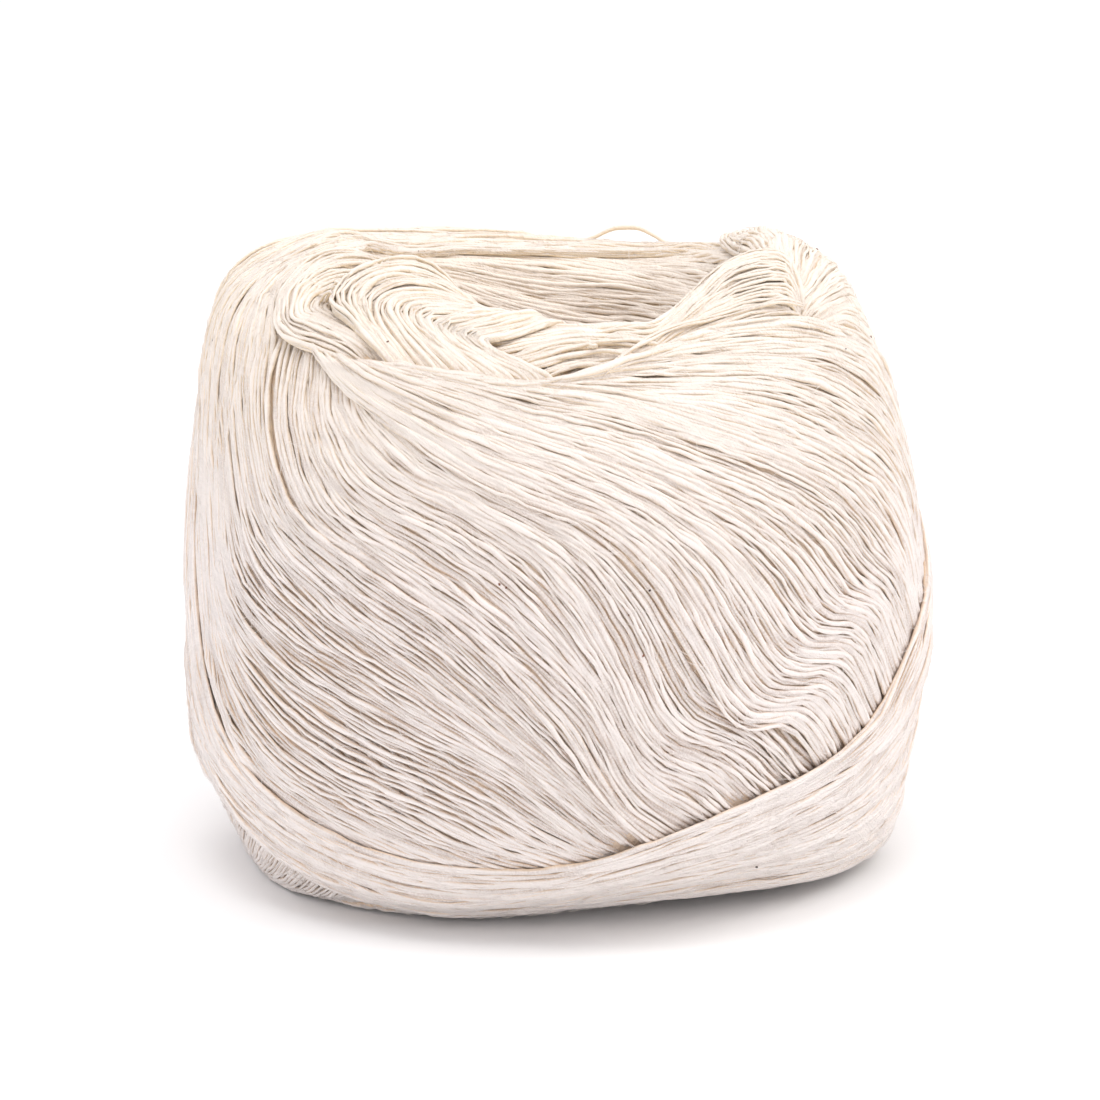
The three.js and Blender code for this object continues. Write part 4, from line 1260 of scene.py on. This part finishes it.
# %% Group: cotton tone
def cotton_tone_group():
    """The colour of raw cotton at a place: cream with greyer and paler parts, painted shade and painted
    light.
    """
    colours = (("Cream", (0.88, 0.83, 0.75, 1)), ("Deep", (0.62, 0.50, 0.36, 1)),
               ("Gap shade", (0.89, 0.67, 0.47, 1)), ("Lit high gap", (0.98, 0.83, 0.62, 1)))
    masks = (("Tone", 0.0), ("Sunk shade", 0.0), ("Warm", 0.0), ("Slub", 0.0), ("Flank", 0.0), ("Fuzz", 0.5))
    sockets = [(name, "NodeSocketColor", colour) for name, colour in colours]
    sockets += [(name, "NodeSocketFloat", value) for name, value in masks]
    results = (("Color", "NodeSocketColor"), ("Roughness", "NodeSocketFloat"))
    tree, given, out = group("Cotton tone", sockets, results)
    value = given.outputs
    place = node(tree, "ShaderNodeTexCoord").outputs["Object"]
    patches = noise(tree, place, 90.0, 3.0)
    specks = noise(tree, place, 1400.0, 2.0)
    patch_shift = maths(tree, "MULTIPLY_ADD", patches, 0.17, -0.085)
    tone_shift = maths(tree, "MULTIPLY_ADD", value["Tone"], 0.06, patch_shift)
    speck_shift = maths(tree, "MULTIPLY_ADD", specks, 0.3, -0.15)
    slub_shift = maths(tree, "MULTIPLY_ADD", value["Slub"], -0.3, speck_shift)
    shift = maths(tree, "ADD", tone_shift, slub_shift)
    # Painted shade: the lower a thread lies in the winding, the more it takes the greyer deep colour, and the
    # stronger its fuzz.
    sunk_shade = maths(tree, "MULTIPLY_ADD", value["Sunk shade"], 0.7, shift)
    grain = maths(tree, "MULTIPLY_ADD", value["Sunk shade"], 1.8, 0.9)
    fuzzed = maths(tree, "MULTIPLY_ADD", maths(tree, "SUBTRACT", value["Fuzz"], 0.5), grain, sunk_shade)
    # Painted light: towards the top of the ball the deep threads get less of the deep colour, the gaps a
    # lighter colour and the cotton a warmer one.
    height = node(tree, "ShaderNodeSeparateXYZ", {0: place}).outputs["Z"]
    high = ranged(tree, height, 0.035, 0.06)
    clamped = node(tree, "ShaderNodeClamp", {0: fuzzed}).outputs[0]
    share = maths(tree, "MULTIPLY", clamped, maths(tree, "MULTIPLY_ADD", high, -0.45, 1.0))
    upper = mixed(tree, share, value["Cream"], value["Deep"])
    # Painted shade: the flanks of the tubes take the browner gap colour, more so on threads that lie deep.
    depth = maths(tree, "MULTIPLY_ADD", value["Sunk shade"], 0.3, 0.65)
    gap = maths(tree, "MULTIPLY", value["Flank"], depth)
    gap_shade_colour = mixed(tree, high, value["Gap shade"], value["Lit high gap"])
    colour = mixed(tree, gap, upper, gap_shade_colour)
    # The warmth is partly the yellower tone of some bundles and partly painted light towards the top.
    warmth_and_top_light = maths(tree, "MULTIPLY_ADD", value["Warm"], 0.3, maths(tree, "MULTIPLY", high, 0.7))
    warmth_and_top_light = node(tree, "ShaderNodeClamp", {0: warmth_and_top_light}).outputs[0]
    warm_tone_and_lit_top = mixed(tree, warmth_and_top_light, colour, (1.0, 0.98, 0.91, 1), "MULTIPLY")
    tree.links.new(warm_tone_and_lit_top, out.inputs["Color"])
    rough = maths(tree, "MULTIPLY_ADD", specks, 0.25, 0.75)
    tree.links.new(rough, out.inputs["Roughness"])
    return tree


spun_fibres = spun_fibres_group()
cotton_tone = cotton_tone_group()
print("node groups:", [tree.name for tree in bpy.data.node_groups])

# %% Materials
def cotton_material(name, cream, deep, relief, twisted=True):
    """Cotton made from the two groups. The core and the loose fibres show no twist, only felt."""
    material = bpy.data.materials.new(name)
    material.use_nodes = True
    tree = material.node_tree
    tree.nodes.clear()
    tone = node(tree, "ShaderNodeGroup", node_tree=cotton_tone)
    tone.inputs["Cream"].default_value = cream
    tone.inputs["Deep"].default_value = deep
    for socket, value_name in (("Tone", "tone"), ("Sunk shade", "sunk_shade"), ("Warm", "warm"), ("Slub", "slub")):
        value = node(tree, "ShaderNodeAttribute", attribute_name=value_name)
        tree.links.new(value.outputs["Fac"], tone.inputs[socket])
    surface = node(tree, "ShaderNodeBsdfPrincipled", {
        "Base Color": tone.outputs["Color"], "Roughness": tone.outputs["Roughness"],
        "Specular IOR Level": 0.25, "Sheen Weight": 0.25, "Sheen Roughness": 0.5})
    if twisted:
        spiral = node(tree, "ShaderNodeGroup", node_tree=spun_fibres)
        tree.links.new(spiral.outputs["Flank"], tone.inputs["Flank"])
        fuzz, height = spiral.outputs["Fuzz"], spiral.outputs["Height"]
    else:
        place = node(tree, "ShaderNodeTexCoord").outputs["Object"]
        height = noise(tree, place, 3200.0, 3.0, 0.7)
        fuzz = ranged(tree, height, 0.3, 0.7)
    tree.links.new(fuzz, tone.inputs["Fuzz"])
    bump = node(tree, "ShaderNodeBump", {"Height": height, "Distance": relief, "Strength": 0.8})
    tree.links.new(bump.outputs["Normal"], surface.inputs["Normal"])
    node(tree, "ShaderNodeOutputMaterial", {"Surface": surface.outputs[0]})
    return material


thread_cotton = cotton_material("raw cotton thread", (0.90, 0.83, 0.79, 1), (0.71, 0.625, 0.58, 1), 0.00016)
fibre_cotton = cotton_material(
    "loose cotton fibre", (0.90, 0.835, 0.80, 1), (0.74, 0.62, 0.54, 1), 0.00002, twisted=False)
# The core's colours are darker and browner than the thread's: painted shade for the bottom of the gaps.
shaded_core_cotton = cotton_material(
    "cotton deep in the ball painted as shade", (0.80, 0.65, 0.52, 1), (0.64, 0.46, 0.32, 1), 0.0004, twisted=False)
for made in winding_pieces:
    made.data.materials.append(fibre_cotton if made.name == "loose_fibres" else thread_cotton)
core_piece.data.materials.append(shaded_core_cotton)
print("materials:", [material.name for material in bpy.data.materials])

# %% [markdown]
# ## Seed specks
# Raw cotton keeps crumbs of the plant: husk and leaf, from red brown to nearly black. Ten are placed where
# the photograph shows them, and the rest are scattered over the sides and the back. A painted dot would do
# for the camera, but a crumb has thickness and a shadow, so each is a small crumpled flake.

# %% Seed specks
SPECK_COLUMNS = ("azimuth", "run", "half length in mm", "darkness")
SPECKS = (
    (3, 6.65, 0.17, 0.1), (-9, 7.15, 0.15, 0.4), (-8, 7.17, 0.13, 0.5), (13, 7.2, 0.16, 0.95),
    (12, 7.6, 0.15, 0.15), (10, 7.35, 0.13, 0.5), (-34, 5.3, 0.15, 0.6), (57, 4.45, 0.15, 0.7),
    (85, 6.05, 0.15, 0.4), (35, 9.5, 0.22, 1.0),
)
SCATTERED_SPECKS = 26
SCATTER_LIMITS = ((60, 320), (3.5, 9.8), (0.08, 0.18), (0.1, 1))
SPECK_LIFT = 0.02
SPECK_WIDTHS = (0.4, 0.75)
SPECK_FLATNESS = 0.35
SPECK_CRUMPLE = 0.22


def scattered_specks():
    """Rows like the table's, at random over the sides and the back."""
    return [[chance.uniform(*limits) for limits in SCATTER_LIMITS] for _ in range(SCATTERED_SPECKS)]


def crumb():
    """Vertices and triangles of a round crumb of radius 1."""
    shape = bmesh.new()
    bmesh.ops.create_icosphere(shape, subdivisions=2, radius=1)
    places = np.array([corner.co[:] for corner in shape.verts])
    faces = np.array([[corner.index for corner in face.verts] for face in shape.faces])
    shape.free()
    return places, faces


def speck_object():
    """All specks as one mesh, each flattened, crumpled and pressed onto the winding."""
    round_places, round_faces = crumb()
    places, faces, darkness = [], [], []
    for azimuth, run, half_length, dark in (*SPECKS, *scattered_specks()):
        spot = np.array(azimuth, float), np.array(run, float)
        normal = read_grid(outward, *spot)
        middle = read_grid(core, *spot) + normal * (read_grid(winding_height, *spot) + SPECK_LIFT)
        sideways = unit(np.cross(normal, chance.normal(0, 1, 3)))
        axes = np.stack((sideways, np.cross(normal, sideways), normal))
        size = half_length * np.array((1, chance.uniform(*SPECK_WIDTHS), SPECK_FLATNESS))
        crumple = chance.uniform(-SPECK_CRUMPLE, SPECK_CRUMPLE, (len(round_places), 1))
        crumpled = round_places * (1 + crumple)
        faces.append(round_faces + len(round_places) * len(places))
        places.append(middle + crumpled * size @ axes)
        darkness.append(np.full(len(round_places), dark))
    return mesh_object("seed_specks", np.concatenate(places), np.concatenate(faces), (),
                       (("darkness", np.concatenate(darkness)),))


def husk_material():
    """Dry husk, from red brown to nearly black by its darkness, mottled and dull."""
    material = bpy.data.materials.new("seed husk")
    material.use_nodes = True
    tree = material.node_tree
    surface = tree.nodes["Principled BSDF"]
    dark = node(tree, "ShaderNodeAttribute", attribute_name="darkness").outputs["Fac"]
    mottle = node(tree, "ShaderNodeTexNoise", {"Scale": 5000.0, "Detail": 2.0}).outputs["Fac"]
    mottled = maths(tree, "ADD", dark, maths(tree, "MULTIPLY_ADD", mottle, 0.5, -0.25))
    share = node(tree, "ShaderNodeClamp", {0: mottled})
    colour = mixed(tree, share.outputs[0], (0.30, 0.10, 0.05, 1), (0.035, 0.025, 0.02, 1))
    tree.links.new(colour, surface.inputs["Base Color"])
    tree.links.new(maths(tree, "MULTIPLY_ADD", mottle, 0.3, 0.6), surface.inputs["Roughness"])
    return material


speck_piece = speck_object()
speck_piece.data.materials.append(husk_material())
print("seed specks:", len(SPECKS) + SCATTERED_SPECKS, "each with", ", ".join(SPECK_COLUMNS))

# %% [markdown]
# ## Floor and light
# The photograph was taken in a white tent: light from everywhere, a little more from high on the right, so
# that a soft shadow lies on the left of the ball.

# %% Studio
FLOOR_HALF = 3.0
LAMP_AIM = (0, 0, 0.03)
floor_mesh = bpy.data.meshes.new("floor")
corners = [(x * FLOOR_HALF, y * FLOOR_HALF, 0) for x, y in ((-1, -1), (1, -1), (1, 1), (-1, 1))]
floor_mesh.from_pydata(corners, [], [(0, 1, 2, 3)])
floor = in_scene("floor", floor_mesh)
paper = bpy.data.materials.new("white paper")
paper.use_nodes = True
paper_surface = paper.node_tree.nodes["Principled BSDF"]
paper_surface.inputs["Base Color"].default_value = (0.93, 0.93, 0.93, 1)
paper_surface.inputs["Roughness"].default_value = 0.9
floor_mesh.materials.append(paper)

tent = bpy.data.worlds.new("white tent")
bpy.context.scene.world = tent
tent.use_nodes = True
sky = tent.node_tree.nodes["Background"]
sky.inputs["Color"].default_value = (0.98, 0.97, 1.0, 1)
sky.inputs["Strength"].default_value = 0.96


def soft_light(name, place, size, watts, colour):
    """A square lamp that faces the ball."""
    light = bpy.data.lights.new(name, "AREA")
    light.size = size
    light.energy = watts
    light.color = colour
    lamp = in_scene(name, light)
    lamp.location = place
    lamp.rotation_euler = (Vector(LAMP_AIM) - Vector(place)).to_track_quat("-Z", "Y").to_euler()


soft_light("key light", (0.62, -0.05, 0.68), 0.5, 2.8, (1.0, 0.97, 0.92))
soft_light("top light", (-0.10, -0.10, 0.90), 0.5, 2.6, (1.0, 0.985, 0.96))
soft_light("front light", (-0.60, -0.62, 0.45), 0.6, 0.45, (0.98, 0.98, 1.0))
bpy.context.scene.view_settings.view_transform = "Standard"
bpy.context.scene.view_settings.look = "None"
print("lamps:", [light.name for light in bpy.data.lights])

# %% [markdown]
# ## Into the frame
# Every piece rides on the ball's one body and takes the place of its plain solid.

for made in (*winding_pieces, core_piece, speck_piece):
    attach(made, "root")
    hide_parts("thread_ball")
